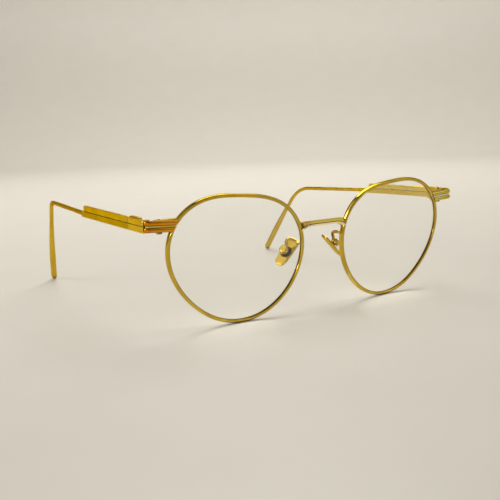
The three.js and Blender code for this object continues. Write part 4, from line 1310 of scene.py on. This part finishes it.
pad_box = drum("pad_box", BOX_RADIUS, BOX_FROM, BOX_TO)
edit(pad_box)
round_edges(lambda e: sharp(e, SQUARE_ANGLE) and near(middle_of(e).z, BOX_TO), BOX_CROWN, 6)
round_edges(lambda e: sharp(e, SQUARE_ANGLE), BOX_FOOT_ROUNDING, 2)
choose("FACE", lambda f: near(middle_of(f).z, BOX_TO) and len(f.verts) > 4)
bpy.ops.mesh.inset(thickness=BOX_RADIUS - BOX_CROWN - DIMPLE_RADIUS)
bpy.ops.mesh.extrude_region_move(TRANSFORM_OT_translate={"value": (0, 0, -DIMPLE_DEPTH)})
round_edges(lambda e: sharp(e, SQUARE_ANGLE) and middle_of(e).z > BOX_TO - DIMPLE_DEPTH - DIMPLE_ROUNDING,
            DIMPLE_ROUNDING, 3)
rest_tools()
place(pad_box, Matrix.Rotation(math.pi / 2, 4, "Y"))
cup = block("cup", (BOX_FROM - 1, -BOX_SLOT_WIDTH / 2, -BOX_SLOT_LENGTH / 2),
            (BOX_TO - BOX_ROOF, BOX_SLOT_WIDTH / 2, BOX_SLOT_LENGTH / 2))
boolean(pad_box, cup, "DIFFERENCE")
boolean(pad_box, pad_bore(), "DIFFERENCE")
place(pad_box, pad_place)
settle_pair(pad_box, "pad_cup", "pad_box", "front", pad_gold)

pad_seat = BOX_RADIUS + THREAD_GAP
pad_screw = slotted_screw("pad_screw", PAD_HEAD_RADIUS, PAD_HEAD_HEIGHT, PAD_SCREW_RADIUS,
                          2 * pad_seat + PAD_HEAD_HEIGHT, PAD_SLOT_DEPTH)
head_up = Matrix.Translation((PAD_PIVOT, pad_seat + PAD_HEAD_HEIGHT, 0)) @ across_y
place(pad_screw, pad_place @ head_up)
settle_pair(pad_screw, "pad_pin", "pad_screw", "front", screw_steel)

# %% [markdown]
# ## The pad arms
#
# The box hangs on an arm: a bent wire that leaves the back of the rim, loops over and comes down on the top of
# the box. Arms are bent by hand to suit a nose, so the two differ. Each loop is a smooth curve through a few
# points, given for the wearer's left. The wire is swept along it, and a drum the size of the box trims its foot.

# %% Model the pad arms
ARM_RADIUS = 0.58
ARM_STEPS = 40
ARM_ROUTES = {
    "left": [(9.3, -1.4, 27.9), (9.2, 0.4, 27.9), (9.4, 2.6, 27.7), (10.0, 4.4, 27.0), (10.8, 5.2, 25.9)],
    "right": [(9.1, -1.0, 25.8), (9.3, 0.6, 26.0), (10.0, 2.9, 26.9), (10.7, 4.6, 27.1), (11.0, 5.4, 26.2)],
}
ARM_INTO_BOX = 0.5
CURVE_STEPS = 20
FOOT_GAP = 0.03


def curve_between(p0, p1, p2, p3):
    """Places from p1 to p2 on the centripetal curve through four points."""
    t1 = math.sqrt((p1 - p0).length)
    t2 = t1 + math.sqrt((p2 - p1).length)
    t3 = t2 + math.sqrt((p3 - p2).length)
    places = []
    for i in range(CURVE_STEPS):
        t = between(t1, t2, i / CURVE_STEPS)
        first = p0.lerp(p1, t / t1)
        second = p1.lerp(p2, (t - t1) / (t2 - t1))
        third = p2.lerp(p3, (t - t2) / (t3 - t2))
        early = first.lerp(second, t / t2)
        late = second.lerp(third, (t - t1) / (t3 - t1))
        places.append(early.lerp(late, (t - t1) / (t2 - t1)))
    return places


def smooth_route(points, steps):
    """Evenly spaced places along the curve through the points."""
    ends = [points[0] * 2 - points[1], *points, points[-1] * 2 - points[-2]]
    fine = [at for four in zip(ends, ends[1:], ends[2:], ends[3:]) for at in curve_between(*four)]
    fine.append(points[-1])
    travelled = [0.0]
    for a, b in zip(fine, fine[1:]):
        travelled.append(travelled[-1] + (b - a).length)
    route = []
    for i in range(steps + 1):
        wanted = travelled[-1] * i / steps
        k = max(j for j in range(len(fine) - 1) if travelled[j] <= wanted)
        share = (wanted - travelled[k]) / (travelled[k + 1] - travelled[k])
        route.append(fine[k].lerp(fine[k + 1], share))
    return route


box_top = pad_place @ Vector(((BOX_FROM + BOX_TO) / 2, 0, BOX_RADIUS - ARM_INTO_BOX))


def pad_arm(side):
    route = smooth_route([Vector(p) for p in ARM_ROUTES[side]] + [box_top], ARM_STEPS)
    stops = []
    for i, at in enumerate(route):
        along = (route[min(i + 1, ARM_STEPS)] - route[max(i - 1, 0)]).normalized()
        stops.append((at, along, (ARM_RADIUS, ARM_RADIUS, ARM_RADIUS)))
    arm = sweep("pad_arm", rings_along(stops, Vector((1, 0, 0))))
    box_room = drum("box_room", BOX_RADIUS + FOOT_GAP, BOX_FROM - 1, BOX_TO + FOOT_GAP)
    place(box_room, pad_place @ Matrix.Rotation(math.pi / 2, 4, "Y"))
    return boolean(arm, box_room, "DIFFERENCE")


settle_bent(pad_arm, "pad_loop", "pad_arm", "front", arm_gold)
for plug in (left_window, right_window):
    bpy.data.objects.remove(plug)

# %% [markdown]
# ## The floor
#
# Metal shows what stands around it, so the stage is part of the finish. A pale round floor curves up into a low
# wall on all sides, so that the gold mirrors something pale near the horizon and a dimmer room above it. A disc
# is inset once, and its outer edge is extruded up in small turns.

# %% The stage
STAGE_RADIUS = 1.5
STAGE_WALL = 0.8
STAGE_BEND = 0.45
STAGE_SIDES = 96
STAGE_STEPS = 12
FLOOR_INSET = 0.5
FLOOR_ROUGHNESS = 0.38
FLOOR_SPECULAR = 0.3


def bend_radius(lean):
    return STAGE_RADIUS - STAGE_BEND * (1 - math.sin(lean))


rest_tools()
bpy.ops.mesh.primitive_circle_add(vertices=STAGE_SIDES, radius=bend_radius(0), fill_type="NGON")
stage = bpy.context.object
stage.name = "stage"
edit(stage)
bpy.ops.mesh.select_all(action="SELECT")
bpy.ops.mesh.inset(thickness=FLOOR_INSET)
choose("EDGE", lambda e: len(e.link_faces) == 1)
for i in range(STAGE_STEPS):
    earlier = math.pi / 2 * i / STAGE_STEPS
    lean = math.pi / 2 * (i + 1) / STAGE_STEPS
    grow = bend_radius(lean) / bend_radius(earlier)
    rise = STAGE_BEND * (math.cos(earlier) - math.cos(lean))
    bpy.ops.mesh.extrude_region_move(TRANSFORM_OT_translate={"value": (0, 0, rise)})
    bpy.ops.transform.resize(value=(grow, grow, 1), center_override=(0, 0, 0))
bpy.ops.mesh.extrude_region_move(TRANSFORM_OT_translate={"value": (0, 0, STAGE_WALL - STAGE_BEND)})
take(stage)
bpy.ops.object.shade_smooth()
pale = bpy.data.materials.new("pale_floor")
pale.use_nodes = True
tree = pale.node_tree
coat = tree.nodes["Principled BSDF"]
where = tree.nodes.new("ShaderNodeTexCoord").outputs["Object"]
tone = mix_node(tree, noise_node(tree, where, 30, 4), (0.66, 0.635, 0.575), (0.70, 0.675, 0.615))
tree.links.new(tone, coat.inputs["Base Color"])
coat.inputs["Roughness"].default_value = FLOOR_ROUGHNESS
coat.inputs["Specular IOR Level"].default_value = FLOOR_SPECULAR
stage.data.materials.append(pale)
stage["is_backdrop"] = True
print("stage rises to", STAGE_WALL, "m")

# %% [markdown]
# ## The lamps and the room
#
# The room is dim and a little warm, and soft round lamps do the work. The key stands high behind, two more lift
# the near temple and the front, one looks down on the pads and one brightens the wall behind. A small one, low
# in front, is mirrored as the short bright glints on the rims. Lamps aren't seen through the lenses, because
# glass would gather them into bright specks on the floor.

# %% Set the lamps
WARM_WHITE = (1.0, 0.97, 0.92)
ROOM_STRENGTH = 0.13
# A name, a place, the place it looks at, its width in metres and its power in watts.
LAMPS = [
    ("key", (0.35, 0.5, 0.95), (0, 0, 0), 0.8, 8.2),
    ("back_left", (-0.75, 0.35, 0.5), (-0.07, -0.06, 0.037), 0.5, 4.0),
    ("front_fill", (0.65, -0.55, 0.75), (0, 0, 0.03), 0.9, 1.6),
    ("window", (-0.77, -0.69, 0.157), (0, -0.06, 0.028), 0.09, 1.0),
    ("over_pads", (-0.45, 0.38, 0.85), (0, -0.06, 0.025), 0.5, 0.6),
    ("backdrop", (0.45, 0.6, 1.0), (0.8, 1.3, 0.25), 0.6, 5.0),
]

world = bpy.data.worlds.new("room")
bpy.context.scene.world = world
world.use_nodes = True
world.node_tree.nodes["Background"].inputs["Color"].default_value = (*WARM_WHITE, 1)
world.node_tree.nodes["Background"].inputs["Strength"].default_value = ROOM_STRENGTH
for name, location, target, width, power in LAMPS:
    rest_tools()
    bpy.ops.object.light_add(type="AREA", location=location)
    lamp = bpy.context.object
    lamp.name = name
    lamp.data.shape = "DISK"
    lamp.data.size = width
    lamp.data.energy = power
    lamp.data.color = WARM_WHITE
    lamp.rotation_euler = (Vector(target) - Vector(location)).to_track_quat("-Z", "Y").to_euler()
    lamp.visible_transmission = False
print("lamps:", len(LAMPS), "with", round(sum(power for *_, power in LAMPS), 1), "watts in all")

# %% [markdown]
# ## The camera
#
# The camera stands to the wearer's right, a little above the rims, as close as one would hold a phone. Its
# direction is built from an azimuth and an elevation, and a small roll about its own axis tilts the horizon.

# %% Set the camera
CAMERA_FROM_FRONT = Vector((-167.39, -218.647, 68.98))
CAMERA_AZIMUTH = math.radians(-32.11)
CAMERA_ELEVATION = math.radians(9.519)
CAMERA_ROLL = math.radians(-2.033)
CAMERA_LENS = 54.0
CAMERA_SENSOR = 36.0
CAMERA_NEAREST = 0.01
camera_at = to_metres @ CAMERA_FROM_FRONT

rest_tools()
bpy.ops.object.camera_add(location=camera_at)
camera = bpy.context.object
camera.data.lens = CAMERA_LENS
camera.data.sensor_width = CAMERA_SENSOR
camera.data.clip_start = CAMERA_NEAREST
backward = Vector((math.sin(CAMERA_AZIMUTH) * math.cos(CAMERA_ELEVATION),
                   -math.cos(CAMERA_AZIMUTH) * math.cos(CAMERA_ELEVATION), math.sin(CAMERA_ELEVATION)))
level = Vector((math.cos(CAMERA_AZIMUTH), math.sin(CAMERA_AZIMUTH), 0))
upward = backward.cross(level)
right = level * math.cos(CAMERA_ROLL) + upward * math.sin(CAMERA_ROLL)
up = upward * math.cos(CAMERA_ROLL) - level * math.sin(CAMERA_ROLL)
camera.matrix_world = Matrix.Translation(camera_at) @ Matrix((right, up, backward)).transposed().to_4x4()
bpy.context.scene.camera = camera
bpy.context.scene.view_settings.view_transform = "Standard"
print("camera", round(camera_at.length, 3), "m from the middle of the floor")

# %% [markdown]
# ## Sizes
#
# The dressed frame should stay inside the box of the CAD model. The box of everything shown, floor aside, is
# measured, and the pieces and their faces are counted.

# %% Sizes
low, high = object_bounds()
print("pieces:", len(made), "faces:", sum(len(p.data.polygons) for p in made))
